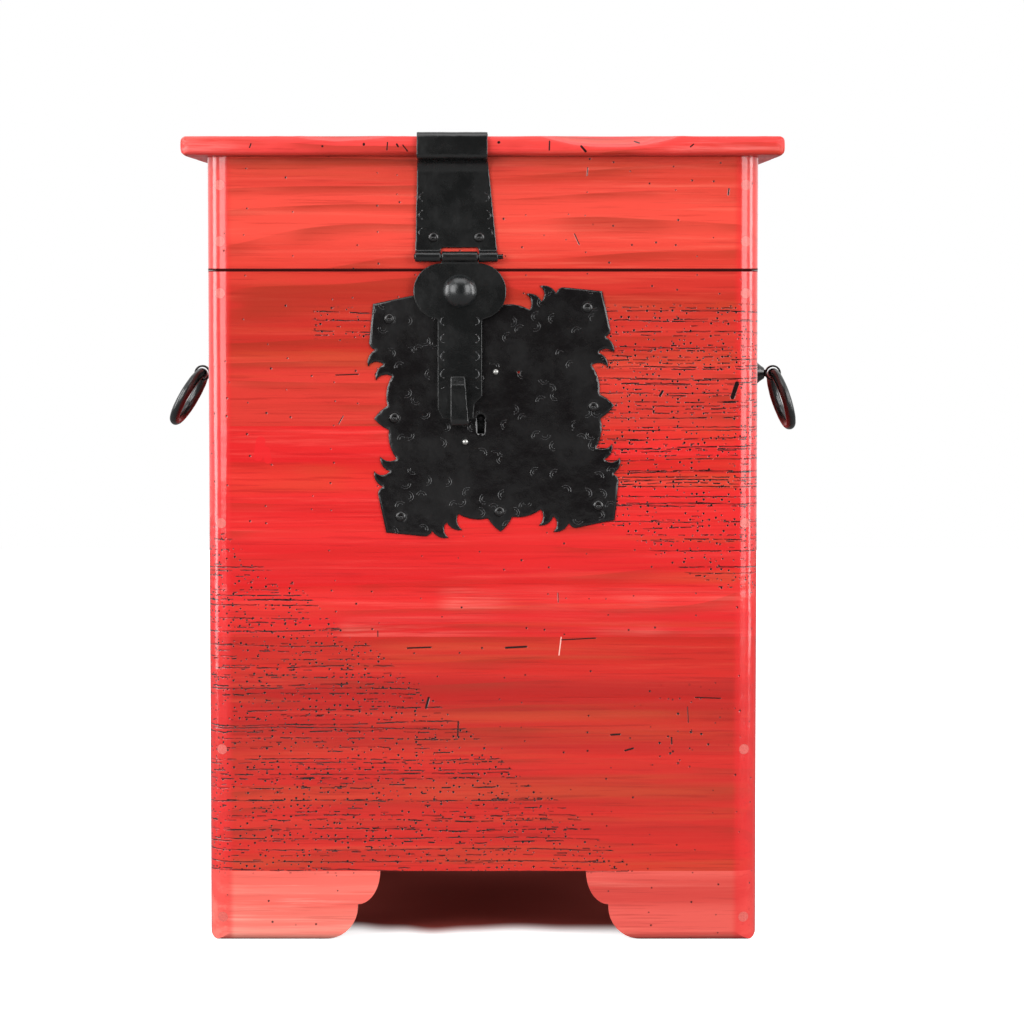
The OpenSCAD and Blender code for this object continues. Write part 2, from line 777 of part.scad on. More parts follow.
// The domed rivet in the middle of the hasp's head
stud_shank_r = 2.5;
module hasp_dome_stud() {
    dome_r = (stud_r * stud_r + stud_h * stud_h) / (2 * stud_h);
    color(iron) {
        intersection() {
            translate([hasp_x, tongue_front - stud_h + dome_r, head_z]) sphere(r = dome_r, $fn = 96);
            rod_y(hasp_x, tongue_front - 2 * stud_h, head_z, stud_r + cut, 2 * stud_h);
        }
        rod_y(hasp_x, tongue_front - 0.5, head_z, stud_shank_r, hasp_t + 0.5);
    }
}

// The staple behind the tongue, a loop that the lock's bolt passes through
module hasp_staple() {
    color(iron) translate([hasp_x - staple_t / 2, tongue_back, staple_z]) rotate([90, 0, 90])
        linear_extrude(staple_t) difference() {
            translate([0, -staple_h / 2]) square([staple_out, staple_h]);
            translate([-cut, -staple_hole_h / 2]) square([staple_out - staple_bar + cut, staple_hole_h]);
        }
}

// ---- Lock ----

// Stands its children at the plate's middle, with the plate's tilt: X right, Y up, Z out
module on_plate() {
    translate([plate_x, y_front, lock_z]) rotate([90, 0, 0]) rotate(plate_tilt) children();
}

// The plate's eight screws: four corners and four points at the middle of the edges
plate_scale = plate_half / 90.8;
corner_screw_at = 78.5 * plate_scale;
edge_screw_at = 79 * plate_scale;
module at_plate_screws() {
    on_plate() for (turn = [0 : 90 : 270]) rotate(turn) {
        for (at = [[corner_screw_at, corner_screw_at], [edge_screw_at, 0]]) {
            translate([at[0], at[1], plate_t + iron_proud]) rotate([180, 0, 0]) children();
        }
    }
}

// The two rivets that hold the lock case to the plate, from the plate's middle
rivet_r = 1.5;
rivet_l = 7;
rivet_at = plate_scale * [[1.3, 31.8], [-22.8, -23.7]];
pinhole_at = plate_scale * [19.5, 31.6];
module at_rivets() {
    for (at = rivet_at) {
        translate([plate_x + at[0], y_front - plate_t, lock_z + at[1]]) rotate([-90, 0, 0]) children();
    }
}

// The outline from the middle of an edge to a corner: half a fleur, a lobe, two curled claws,
// a lobe and the straight edge of the corner
plate_corner = [90.8, 90.8];
eighth = concat(
    arc([0, 95.2], [9.6, 84], 0.9, 4),
    arc([9.6, 84], [32.8, 79.2], 2.4, 5),
    arc([32.8, 79.2], [30.4, 92], -2.6, 5),
    arc([30.4, 92], [42.4, 85.2], 2.6, 5),
    arc([42.4, 85.2], [41.6, 97.6], -3, 5),
    arc([41.6, 97.6], [54.4, 91.2], 2.6, 5),
    arc([54.4, 91.2], [60, 95.6], 1.2, 4),
    [[60, 95.6]]);
quadrant = concat(
    eighth,
    [plate_corner],
    [for (i = [len(eighth) - 1 : -1 : 1]) [eighth[i][1], eighth[i][0]]]);
plate_outline = [
    for (turn = [0 : 3], p = quadrant)
    let (c = cos(90 * turn), s = sin(90 * turn))
    plate_scale * [c * p[0] + s * p[1], c * p[1] - s * p[0]]];

module lock_plate() {
    color(iron) difference() {
        on_plate() linear_extrude(plate_t) polygon(plate_outline);
        at_plate_screws() screw_hole(iron_screw_l, iron_screw_r, iron_head_r);
        at_rivets() translate([0, 0, -cut]) cylinder(r = rivet_r + screw_fit, h = plate_t + 2 * cut);
        rod_y(key_x, y_front - plate_t - cut, key_z, key_r, plate_t + 2 * cut);
        rod_y(plate_x + pinhole_at[0], y_front - plate_t - cut, lock_z + pinhole_at[1], 1, plate_t + 2 * cut);
        block([key_x - key_slot_w / 2, y_front - plate_t - cut, key_z - key_slot_l],
              [key_x + key_slot_w / 2, y_front + cut, key_z]);
        block([hasp_x - staple_slot_w / 2, y_front - plate_t - cut, staple_z - staple_slot_h / 2],
              [hasp_x + staple_slot_w / 2, y_front + cut, staple_z + staple_slot_h / 2]);
    }
}

module lock_plate_screws() {
    color(iron) at_plate_screws() steel_screw(iron_screw_l, iron_screw_r, iron_head_r);
}

module lock_rivets() {
    dome_r = 2.4;
    color(bright_iron) at_rivets() {
        cylinder(r = rivet_r, h = rivet_l);
        intersection() {
            translate([0, 0, 0.8]) sphere(r = dome_r);
            translate([0, 0, -dome_r]) cylinder(r = 2 * dome_r, h = dome_r);
        }
    }
}

// The sheet-iron case behind the plate, open to the front, with the bolt's guide, two posts
// for the rivets and the drill pin that the key turns on
module lock_case() {
    back_y = y_front + lock_case_t;
    half_w = lock_case_w / 2;
    half_h = lock_case_h / 2;
    guide_half = bolt_h / 2 + bolt_fit;
    guide_back = bolt_y + bolt_t + bolt_fit;
    post_l = lock_case_t - lock_wall / 2;
    color(iron) difference() {
        union() {
            difference() {
                block([lock_case_x - half_w, y_front, lock_z - half_h],
                      [lock_case_x + half_w, back_y, lock_z + half_h]);
                block([lock_case_x - half_w + lock_wall, y_front - cut, lock_z - half_h + lock_wall],
                      [lock_case_x + half_w - lock_wall, back_y - lock_wall, lock_z + half_h - lock_wall]);
            }
            difference() {
                block([guide_x, y_front, staple_z - guide_half - 2.4],
                      [guide_x + guide_l, back_y - lock_wall / 2, staple_z + guide_half + 2.4]);
                block([guide_x - cut, y_front - cut, staple_z - guide_half],
                      [guide_x + guide_l + cut, guide_back, staple_z + guide_half]);
            }
            rod_y(key_x, y_front - plate_t / 2, key_z, drill_pin_r, post_l + plate_t / 2);
            for (at = rivet_at) {
                rod_y(plate_x + at[0], y_front, lock_z + at[1], rivet_r + 2, post_l);
            }
        }
        at_rivets() cylinder(r = rivet_r + screw_fit, h = rivet_l + screw_fit);
    }
}

// The bolt, drawn back at rest, with the tail that the key pushes
module lock_bolt() {
    color(bright_iron) {
        block([bolt_tip_x, bolt_y, staple_z - bolt_h / 2],
              [bolt_tip_x + bolt_l, bolt_y + bolt_t, staple_z + bolt_h / 2]);
        block([bolt_tip_x + bolt_l - bolt_tail_w, bolt_y, staple_z - bolt_h / 2 - 6],
              [bolt_tip_x + bolt_l, bolt_y + bolt_t, staple_z - bolt_h / 2]);
    }
}

// A bent leaf spring from the case's top wall down to the bolt's upper edge
module lock_bolt_spring() {
    t = 0.8;
    foot_x = guide_x + guide_l + 4;
    foot_z = staple_z + bolt_h / 2 + bolt_fit;
    top_x = foot_x + 4;
    top_z = lock_z + lock_case_h / 2 - lock_wall;
    color(bright_iron) translate([0, bolt_y + bolt_t, 0]) rotate([90, 0, 0])
        linear_extrude(bolt_t - bolt_fit) polygon([
        [foot_x, foot_z], [foot_x + 2, foot_z], [top_x, foot_z + 5], [top_x, top_z - t],
        [top_x - 3, top_z - t], [top_x - 3, top_z], [top_x + t, top_z], [top_x + t, foot_z + 4.7],
        [foot_x + 2.4, foot_z - t / 4], [foot_x, foot_z - t / 4]]);
}

// ---- Side handles ----

// Stands its children on a side wall at the eye, with X pointing out
module on_side(side) {
    translate([side * x_side, 0, eye_z]) rotate(side < 0 ? 180 : 0) children();
}

// A bell-shaped rosette, open for the eye's shank
rosette_nose_r = 4.6;
rosette_rim_t = 1.5;
module rosette(side, eye_out) {
    bore_r = shank_r + screw_fit;
    rosette_h = eye_out - (ring_bar_r + ring_fit + eye_wall) - 0.3;
    color(iron) on_side(side) rotate([0, 90, 0]) rotate_extrude() polygon(concat(
        [[bore_r, 0], [rosette_r, 0]],
        arc([rosette_r, rosette_rim_t], [rosette_nose_r, rosette_h], 3, 10),
        [[rosette_nose_r, rosette_h], [bore_r, rosette_h]]));
}

// The eye that the ring hangs in: a band round the ring's bar, on a shank through the wall
// with its ends clenched inside
module eye(side, eye_out) {
    hole_r = ring_bar_r + ring_fit;
    clench_l = 32;
    clench_t = 2;
    color(iron) on_side(side) {
        difference() {
            union() {
                rod_y(eye_out, -eye_w / 2, 0, hole_r + eye_wall, eye_w);
                rod_x(-board_t - clench_t / 2, 0, 0, shank_r, board_t + clench_t / 2 + eye_out);
            }
            rod_y(eye_out, -eye_w, 0, hole_r, 2 * eye_w);
        }
        block([-board_t - clench_t, -shank_r, -clench_l / 2], [-board_t, shank_r, clench_l / 2]);
    }
}

module ring(side, eye_out, lean) {
    color(iron) on_side(side) translate([eye_out, 0, 0]) rotate([0, 90 - lean, 0])
        rotate([-side * ring_turn, 0, 0]) translate([ring_r, 0, 0])
        rotate_extrude() translate([ring_r, 0]) circle(r = ring_bar_r, $fn = 48);
}

// ---- Back hinges ----

case_leaf = -1;
lid_leaf = 1;

// Stands its children at the screws of both hinges' leaves of one kind, along +Z into the wood
module at_hinge_screws(leaf) {
    for (sx = [left, right], at = [[-20, 15], [0, 30], [20, 15]]) {
        translate([sx * hinge_x + at[0], y_back + leaf_t + iron_proud, hinge_z + leaf * at[1]])
            rotate([90, 0, 0]) children();
    }
}

// One leaf: the case's leaf has the two outer knuckles, the lid's has the middle one
module hinge_leaf(side, leaf) {
    half_w = hinge_w / 2;
    half_mid = hinge_mid_w / 2;
    clear_r = hinge_knuckle_r + 0.5;
    leaf_gap = 0.2;
    color(iron) difference() {
        translate([side * hinge_x, 0, hinge_z]) {
            difference() {
                union() {
                    block([-half_w, y_back, leaf > 0 ? leaf_gap : -leaf_h],
                          [half_w, y_back + leaf_t, leaf > 0 ? leaf_h : -leaf_gap]);
                    rod_x(-half_w, hinge_y, 0, hinge_knuckle_r, hinge_w);
                }
                if (leaf == case_leaf) {
                    block([-half_mid - knuckle_gap, y_back - cut, -clear_r],
                          [half_mid + knuckle_gap, hinge_y + 2 * clear_r, clear_r]);
                }
                if (leaf == lid_leaf) for (sx = [left, right]) {
                    outer_x = sx * (half_mid + half_w + cut) / 2;
                    translate([outer_x, hinge_y, 0])
                        cube([half_w - half_mid + cut, 4 * clear_r, 2 * clear_r], center = true);
                }
                rod_x(-half_w - cut, hinge_y, 0, hinge_pin_r + pin_fit, hinge_w + 2 * cut);
            }
        }
        at_hinge_screws(leaf) screw_hole(iron_screw_l, iron_screw_r, iron_head_r);
    }
}

module hinge_pins() {
    color(iron) for (sx = [left, right]) {
        rod_x(sx * hinge_x - hinge_w / 2, hinge_y, hinge_z, hinge_pin_r, hinge_w);
    }
}

module hinge_screws(leaf) {
    color(iron) at_hinge_screws(leaf) steel_screw(iron_screw_l, iron_screw_r, iron_head_r);
}

// ---- The assembly ----

upper_board("front");  // front_board_upper
middle_board("front");  // front_board_middle
lower_board("front");  // front_board_lower
upper_board("back");  // back_board_upper
middle_board("back");  // back_board_middle
lower_board("back");  // back_board_lower
upper_board("left");  // left_board_upper
middle_board("left");  // left_board_middle
lower_board("left");  // left_board_lower
upper_board("right");  // right_board_upper
middle_board("right");  // right_board_middle
lower_board("right");  // right_board_lower
corner_foot(left, front);  // foot_front_left
corner_foot(right, front);  // foot_front_right
corner_foot(left, back);  // foot_back_left
corner_foot(right, back);  // foot_back_right
side_foot(left, front);  // foot_left_side_front
side_foot(left, back);  // foot_left_side_back
side_foot(right, front);  // foot_right_side_front
side_foot(right, back);  // foot_right_side_back
bottom_board(front);  // bottom_board_front
bottom_board(back);  // bottom_board_back
bottom_cleats();
case_screws();
case_plugs();
lid_board(front);  // lid_board_front
lid_board(0);  // lid_board_middle
lid_board(back);  // lid_board_back
lid_rail("front");  // lid_rail_front
lid_rail("back");  // lid_rail_back
lid_rail("left");  // lid_rail_left
lid_rail("right");  // lid_rail_right
lid_screws();
lid_plugs();
hasp_strap();
strap_screws();
hasp_pin();
hasp_tongue();
hasp_dome_stud();
hasp_staple();
lock_plate();
lock_plate_screws();
lock_rivets();
lock_case();
lock_bolt();
lock_bolt_spring();
rosette(left, left_eye_out);  // left_rosette
rosette(right, right_eye_out);  // right_rosette
eye(left, left_eye_out);  // left_eye
eye(right, right_eye_out);  // right_eye
ring(left, left_eye_out, left_lean);  // left_ring
ring(right, right_eye_out, right_lean);  // right_ring
hinge_leaf(left, case_leaf);  // left_hinge_case_leaf
hinge_leaf(right, case_leaf);  // right_hinge_case_leaf
hinge_leaf(left, lid_leaf);  // left_hinge_lid_leaf
hinge_leaf(right, lid_leaf);  // right_hinge_lid_leaf
hinge_pins();
hinge_screws(case_leaf);  // hinge_case_screws
hinge_screws(lid_leaf);  // hinge_lid_screws
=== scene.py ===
"""Looks for the lidded pine chest: camera, light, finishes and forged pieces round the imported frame."""

import json
import math

import bmesh
import bpy
import numpy as np
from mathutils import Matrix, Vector, noise
from mathutils.geometry import delaunay_2d_cdt


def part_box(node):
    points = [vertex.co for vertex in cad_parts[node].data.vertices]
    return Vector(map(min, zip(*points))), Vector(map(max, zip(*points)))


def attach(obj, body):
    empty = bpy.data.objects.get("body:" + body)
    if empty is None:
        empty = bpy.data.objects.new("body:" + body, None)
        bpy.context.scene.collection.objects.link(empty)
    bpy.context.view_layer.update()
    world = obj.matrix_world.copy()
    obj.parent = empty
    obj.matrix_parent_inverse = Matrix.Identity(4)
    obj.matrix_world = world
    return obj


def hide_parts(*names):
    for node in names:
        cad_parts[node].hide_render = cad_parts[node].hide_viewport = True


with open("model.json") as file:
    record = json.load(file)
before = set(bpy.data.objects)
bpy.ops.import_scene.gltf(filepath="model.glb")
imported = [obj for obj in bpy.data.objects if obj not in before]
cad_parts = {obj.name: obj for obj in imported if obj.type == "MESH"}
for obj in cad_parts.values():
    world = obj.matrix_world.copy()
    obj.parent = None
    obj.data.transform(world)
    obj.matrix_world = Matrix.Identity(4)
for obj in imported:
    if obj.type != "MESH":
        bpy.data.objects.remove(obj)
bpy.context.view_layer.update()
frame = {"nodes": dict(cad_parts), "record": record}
nodes = frame["nodes"]

# ---- Measures of the chest, some worked out from the frame and some given ----

front_low, front_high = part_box("front_board_upper")
lid_low, lid_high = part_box("lid_board_front")
CASE_HALF_W = front_high.x
FRONT_Y = front_low.y
RIM_Z = front_high.z
RAIL_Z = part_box("lid_rail_front")[0].z

# Half the width of the hasp tongue's shank
TONGUE_HALF_W = 0.0178
# The strap's side edges, each through a low and a high point (x, z)
STRAP_LEFT_EDGE = ((-0.0537, 0.552), (-0.0520, 0.627))
STRAP_RIGHT_EDGE = ((0.0119, 0.552), (0.0040, 0.627))

# ---- Camera ----

CAMERA_AT = (0.0232, -3.3, 0.546)
CAMERA_TILT_DOWN = 3.7185
# In millimetres
CAMERA_LENS = 136.95
CAMERA_SENSOR = 36


def make_camera():
    data = bpy.data.cameras.new("camera")
    data.sensor_width = CAMERA_SENSOR
    data.lens = CAMERA_LENS
    camera = bpy.data.objects.new("camera", data)
    camera.location = CAMERA_AT
    camera.rotation_euler = (math.radians(90 - CAMERA_TILT_DOWN), 0, 0)
    bpy.context.collection.objects.link(camera)
    bpy.context.scene.camera = camera


# ---- Node trees ----


def linear(red, green, blue):
    """A colour given as 0 to 255 display values, as the linear colour that a shader takes."""
    shares = (value / 255 for value in (red, green, blue))
    return tuple(c / 12.92 if c < 0.04045 else ((c + 0.055) / 1.055) ** 2.4 for c in shares) + (1,)


class Graph:
    """A node tree with short calls for the nodes that the finishes share."""

    def __init__(self, tree):
        self.tree = tree

    def add(self, kind, inputs=None, **settings):
        node = self.tree.nodes.new(kind)
        for name, value in settings.items():
            setattr(node, name, value)
        for name, value in (inputs or {}).items():
            self.put(node.inputs[name], value)
        return node

    def put(self, socket, value):
        if isinstance(value, bpy.types.NodeSocket):
            self.tree.links.new(value, socket)
        else:
            socket.default_value = value

    def math(self, operation, a, b=0.0):
        return self.add("ShaderNodeMath", {0: a, 1: b}, operation=operation).outputs[0]

    def plus(self, a, b):
        return self.math("ADD", a, b)

    def minus(self, a, b):
        return self.math("SUBTRACT", a, b)

    def times(self, a, b):
        return self.math("MULTIPLY", a, b)

    def over(self, a, b):
        return self.math("DIVIDE", a, b)

    def absolute(self, value):
        return self.math("ABSOLUTE", value)

    def scaled(self, vector, factors):
        return self.add("ShaderNodeVectorMath", {0: vector, 1: factors}, operation="MULTIPLY").outputs[0]

    def moved(self, vector, offset):
        return self.add("ShaderNodeVectorMath", {0: vector, 1: offset}, operation="ADD").outputs[0]

    def vector(self, x, y, z):
        return self.add("ShaderNodeCombineXYZ", {0: x, 1: y, 2: z}).outputs[0]

    def parts(self, vector):
        return self.add("ShaderNodeSeparateXYZ", {0: vector}).outputs

    def noise(self, vector, scale=1.0, detail=2.0, roughness=0.5, distortion=0.0):
        inputs = {
            "Vector": vector, "Scale": scale, "Detail": detail, "Roughness": roughness,
            "Distortion": distortion}
        return self.add("ShaderNodeTexNoise", inputs).outputs["Fac"]

    def cells(self, vector, scale, dimensions="3D"):
        inputs = {"Vector": vector, "Scale": scale}
        return self.add("ShaderNodeTexVoronoi", inputs, voronoi_dimensions=dimensions).outputs

    def dot(self, a, b):
        return self.add("ShaderNodeVectorMath", {0: a, 1: b}, operation="DOT_PRODUCT").outputs["Value"]

    def length(self, vector):
        return self.add("ShaderNodeVectorMath", {0: vector}, operation="LENGTH").outputs["Value"]

    def unit(self, vector):
        return self.add("ShaderNodeVectorMath", {0: vector}, operation="NORMALIZE").outputs[0]

    def away(self, vector, centre):
        return self.add("ShaderNodeVectorMath", {0: vector, 1: centre}, operation="SUBTRACT").outputs[0]

    def random(self, value):
        return self.add("ShaderNodeTexWhiteNoise", {"W": value}, noise_dimensions="1D").outputs["Value"]

    def step(self, value, low, high, to_low=0.0, to_high=1.0):
        """Runs smoothly from to_low to to_high while value goes from low to high."""
        inputs = {"Value": value, "From Min": low, "From Max": high, "To Min": to_low, "To Max": to_high}
        return self.add("ShaderNodeMapRange", inputs, interpolation_type="SMOOTHSTEP").outputs["Result"]

    def mix(self, factor, a, b):
        node = self.add("ShaderNodeMix", data_type="RGBA")
        self.put(node.inputs[0], factor)
        self.put(node.inputs[6], a)
        self.put(node.inputs[7], b)
        return node.outputs[2]

    def most(self, *masks):
        """The largest of several masks."""
        result = masks[0]
        for mask in masks[1:]:
            result = self.math("MAXIMUM", result, mask)
        return result

    def both(self, *masks):
        """The product of several masks."""
        result = masks[0]
        for mask in masks[1:]:
            result = self.math("MULTIPLY", result, mask)
        return result

    def bump(self, height, distance, strength=1.0, normal=None):
        inputs = {"Height": height, "Distance": distance, "Strength": strength}
        if normal is not None:
            inputs["Normal"] = normal
        return self.add("ShaderNodeBump", inputs).outputs[0]


def new_material(name):
    """A new material with its graph, its shader and its object coordinates."""
    material = bpy.data.materials.new(name)
    material.use_nodes = True
    graph = Graph(material.node_tree)
    place = graph.add("ShaderNodeTexCoord").outputs["Object"]
    return material, graph, material.node_tree.nodes["Principled BSDF"], place


def dress(material, *names):
    """Gives one material to all slots of the named CAD nodes."""
    for name in names:
        for slot in nodes[name].material_slots:
            slot.material = material


# ---- Pine under red varnish ----

# Display colours of the stained boards: the deep tone, the main tone and the light streaks
TONES = {
    "lid_edge": ((206, 44, 42), (226, 66, 62), (246, 136, 130)),
    "lid_skirt": ((208, 54, 42), (230, 74, 60), (240, 104, 84)),
    "upper": ((186, 40, 30), (208, 54, 44), (222, 84, 62)),
    "middle": ((210, 28, 30), (226, 44, 42), (238, 82, 74)),
    "lower": ((176, 26, 20), (204, 36, 28), (214, 70, 48)),
    "foot_left": ((244, 104, 92), (255, 166, 148), (255, 218, 198)),
    "foot": ((204, 62, 54), (224, 88, 78), (242, 128, 112)),
}
AMBER = linear(188, 78, 40)
RING_BROWN = linear(150, 44, 24)
SCRATCH_BROWN = linear(24, 5, 4)
FRESH_RED = linear(222, 32, 36)
SMEAR_PINK = linear(244, 132, 118)
SCRATCH_WHITE = linear(250, 190, 176)
# Painted shade in the unvarnished seam between lid and case, on upright and on level faces
SEAM_PAINTED_SHADE = linear(58, 10, 8)
SEAM_LEVEL_PAINTED_SHADE = linear(150, 44, 32)

# Rows of dashes in a scratched field: pitch, seed, thickness
DASH_ROWS = ((0.0050, 3.0, 0.00092), (0.0066, 17.0, 0.00105))

# Round holes: the size of a cell that holds one at most, the hole's radius, the share of cells that have one
WORM_HOLES = (0.022, 0.0014, 0.35)
FIELD_DOTS = (0.0050, 0.0010, 0.45)
STRAY_DOTS = (0.0170, 0.0010, 0.38)
CROWDED_DOTS = (0.0080, 0.0011, 0.40)
# Where the crowded dots lie on the front, and how far from there they have ended and still stand in full
CROWD_AT = (0.160, 0.170, 0)
CROWD_ENDS, CROWD_FULL = 0.045, 0.020

# Across the grain from one year ring to the next, and how many rings the grain wanders
RING_PITCH = 0.021
RING_WANDER = 5.5

# The varnish: how much it bends light, its roughness where it is thick and where it is worn thin, and how much
# of it is left on the lid's top
VARNISH_IOR = 1.56
VARNISH_ROUGHNESS = 0.14
WORN_VARNISH_ROUGHNESS = 0.34
LID_TOP_VARNISH = 0.12

# How far in from a side wall the rubbed front corner ends, and still is rubbed in full
RUB_ENDS, RUB_FULL = 0.021, 0.015
# How far from the middle of the seam between lid and case the unvarnished strip with its painted shade ends,
# and is still full
BARE_AND_SHADED_ENDS, BARE_AND_SHADED_FULL = 0.0016, 0.0009


def scratch_rows(graph, along, z, pitch, seed, thickness):
    """Thin dark dashes along the grain: rows about a pitch apart, each broken up by itself."""
    waver = graph.noise(graph.vector(graph.times(along, 7.0), graph.times(z, 9.0), seed), detail=1.0)
    shake = graph.noise(graph.vector(graph.times(along, 170.0), graph.times(z, 60.0), seed), detail=1.0)
    height = graph.plus(z, graph.times(graph.minus(waver, 0.5), 1.5 * pitch))
    height = graph.plus(height, graph.times(graph.minus(shake, 0.5), 1.1 * thickness))
    rows = graph.over(height, pitch)
    row = graph.math("FLOOR", rows)
    chance = graph.random(graph.plus(row, seed))
    centre = graph.step(graph.random(graph.plus(row, seed + 50.5)), 0.0, 1.0, 0.2, 0.8)
    off = graph.absolute(graph.minus(graph.math("FRACT", rows), centre))
    dash_place = graph.vector(graph.times(along, 74.0), graph.times(row, 7.31), seed)
    dash = graph.noise(dash_place, detail=3.0, roughness=0.62)
    needed = graph.step(chance, 0.0, 1.0, 0.585, 0.405)
    drawn = graph.step(graph.minus(dash, needed), 0.0, 0.03)
    line = graph.step(off, 0.62 * thickness / pitch, 0.34 * thickness / pitch)
    return graph.both(drawn, line)


def worm_holes(graph, place, size, radius, share, dimensions="3D"):
    """Small round holes: about one for each cell of the given size, in the given share of the cells."""
    cells = graph.cells(place, 1.0 / size, dimensions)
    chance = graph.parts(cells["Color"])
    reach = graph.step(chance[1], 0.0, 1.0, 0.55 * radius / size, radius / size)
    hole = graph.step(graph.minus(reach, cells["Distance"]), -0.02, 0.04)
    return graph.both(hole, graph.step(chance[0], share + 0.01, share - 0.01))


# The scratched fields of the front: a corner at the low left under a falling line, a corner at the top right
# over a rising line, and a small patch left of the plate (x from and to, z from and to)
LOW_FIELD_TOP = 0.334
LOW_FIELD_SLOPE = 0.816
LOW_FIELD_FLOOR = 0.056
HIGH_FIELD_LEFT = 0.095
HIGH_FIELD_TOP = 0.512
HIGH_FIELD_BOTTOM = 0.326
HIGH_FIELD_SLOPE = 0.54
SMALL_FIELD = (-0.131, -0.086, 0.482, 0.506)
# How wide a field's edge is, how far it wavers, and how fast the fields end along a side wall
FIELD_EDGE = 0.002
FIELD_WAVER = 0.026
FIELD_FALL_OFF = 1.4


def scratched_fields(graph, place):
    """Where the front is scratched. On a side wall the fields fade out from the front corner on."""
    x, y, z = graph.parts(place)
    depth = graph.minus(y, FRONT_Y)
    round_corner = graph.times(depth, FIELD_FALL_OFF)
    waver = graph.times(graph.minus(graph.noise(place, 24.0, 2.0), 0.5), FIELD_WAVER)
    fall = graph.times(graph.plus(x, CASE_HALF_W - 0.006), LOW_FIELD_SLOPE)
    fall = graph.plus(fall, round_corner)
    low_top = graph.minus(LOW_FIELD_TOP, graph.plus(fall, waver))
    low = graph.both(
        graph.step(graph.minus(low_top, z), 0.0, FIELD_EDGE),
        graph.step(z, LOW_FIELD_FLOOR - 2 * FIELD_EDGE, LOW_FIELD_FLOOR + FIELD_EDGE))
    rise = graph.times(graph.minus(x, HIGH_FIELD_LEFT + 0.015), HIGH_FIELD_SLOPE)
    high_low = graph.minus(graph.plus(HIGH_FIELD_BOTTOM, round_corner), rise)
    wavy_x = graph.minus(x, graph.times(waver, 0.4))
    wavy_z = graph.plus(z, graph.times(waver, 0.3))
    high = graph.both(
        graph.step(graph.minus(z, graph.plus(high_low, waver)), 0.0, FIELD_EDGE),
        graph.step(wavy_x, HIGH_FIELD_LEFT - 5 * FIELD_EDGE, HIGH_FIELD_LEFT),
        graph.step(wavy_z, HIGH_FIELD_TOP, HIGH_FIELD_TOP - 3 * FIELD_EDGE))
    x0, x1, z0, z1 = SMALL_FIELD
    small = graph.both(
        graph.step(x, x0 - 0.006, x0), graph.step(x, x1, x1 - 0.006),
        graph.step(z, z0 - 0.003, z0), graph.step(z, z1 + 0.003, z1),
        graph.step(depth, 0.01, 0.0))
    return graph.most(low, high, small)


# Single cuts in the front: x, z, length, angle from the horizontal, width
CUTS = [
    (0.2005, 0.4415, 0.0150, 72, 0.0036),
    (-0.0445, 0.1915, 0.0100, 75, 0.0020),
    (-0.0200, 0.1705, 0.0130, 88, 0.0012),
    (-0.0840, 0.2450, 0.0090, 90, 0.0008),
    (0.0265, 0.2362, 0.0180, 3, 0.0016),
    (-0.0510, 0.2358, 0.0200, 2, 0.0012),
    (0.1420, 0.4390, 0.0060, 60, 0.0020),
    (0.0600, 0.2760, 0.0080, 92, 0.0007),
    (0.1640, 0.1820, 0.0130, 93, 0.0007),
    (0.1510, 0.1610, 0.0060, 92, 0.0012),
    (0.1800, 0.1955, 0.0210, -2, 0.0009),
    (-0.1080, 0.4540, 0.0190, 2, 0.0009),
    (0.0765, 0.2428, 0.0280, 3, 0.0009),
    (-0.1130, 0.4180, 0.0080, 60, 0.0008),
    (0.1060, 0.1660, 0.0085, 4, 0.0014),
    (0.1170, 0.1540, 0.0080, 16, 0.0014),
    # On the lid's front edge
    (-0.1262, 0.6345, 0.0018, 0, 0.0016),
    (-0.0935, 0.6360, 0.0024, 80, 0.0020),
    (-0.0751, 0.6345, 0.0068, 86, 0.0010),
    (-0.0671, 0.6352, 0.0034, -58, 0.0014),
    (-0.0610, 0.6330, 0.0068, -52, 0.0010),
    (0.0128, 0.6375, 0.0024, 20, 0.0020),
    (0.0527, 0.6350, 0.0080, 88, 0.0011),
    (0.0795, 0.6325, 0.0072, -50, 0.0018),
    (0.1220, 0.6380, 0.0050, -20, 0.0011),
    (-0.1830, 0.6350, 0.0040, 70, 0.0010),
    (0.1650, 0.6350, 0.0040, 40, 0.0010),
    # On the skirt
    (0.0747, 0.5615, 0.0100, -66, 0.0009),
    (0.0830, 0.6150, 0.0070, 84, 0.0008),
    (-0.0100, 0.5650, 0.0050, 75, 0.0008),
    (0.1950, 0.5990, 0.0060, 82, 0.0012),
]
RED_SMEARS = [(-0.1780, 0.3950, 0.0200, 80, 0.0075), (-0.1720, 0.3900, 0.0140, 100, 0.0060)]
PINK_SMEARS = [(0.0900, 0.2760, 0.2400, 1, 0.0160), (0.0500, 0.2485, 0.3200, -1, 0.0060)]
WHITE_SCRATCHES = [(0.0620, 0.2400, 0.0210, 83, 0.0008)]


def capsules(graph, place, strokes, heights, soft=0.0003):
    """A mask of short strokes on the front, each a small capsule: x, z, length, angle and width. Only the
    strokes that lie between the two heights are drawn."""
    x, y, z = graph.parts(place)
    flat = graph.vector(x, z, 0.0)
    nearest = 1.0
    for at_x, at_z, length, angle, width in strokes:
        if heights[0] < at_z < heights[1]:
            turn = math.radians(angle)
            local = graph.away(flat, (at_x, at_z, 0))
            run = graph.absolute(graph.dot(local, (math.cos(turn), math.sin(turn), 0)))
            past = graph.math("MAXIMUM", graph.minus(run, length / 2 - width / 2), 0.0)
            off = graph.vector(past, graph.dot(local, (-math.sin(turn), math.cos(turn), 0)), 0.0)
            reach = graph.length(off)
            nearest = graph.math("MINIMUM", graph.minus(reach, width / 2), nearest)
    return graph.both(graph.step(nearest, soft, -soft), graph.step(y, FRONT_Y + 0.02, FRONT_Y + 0.01))


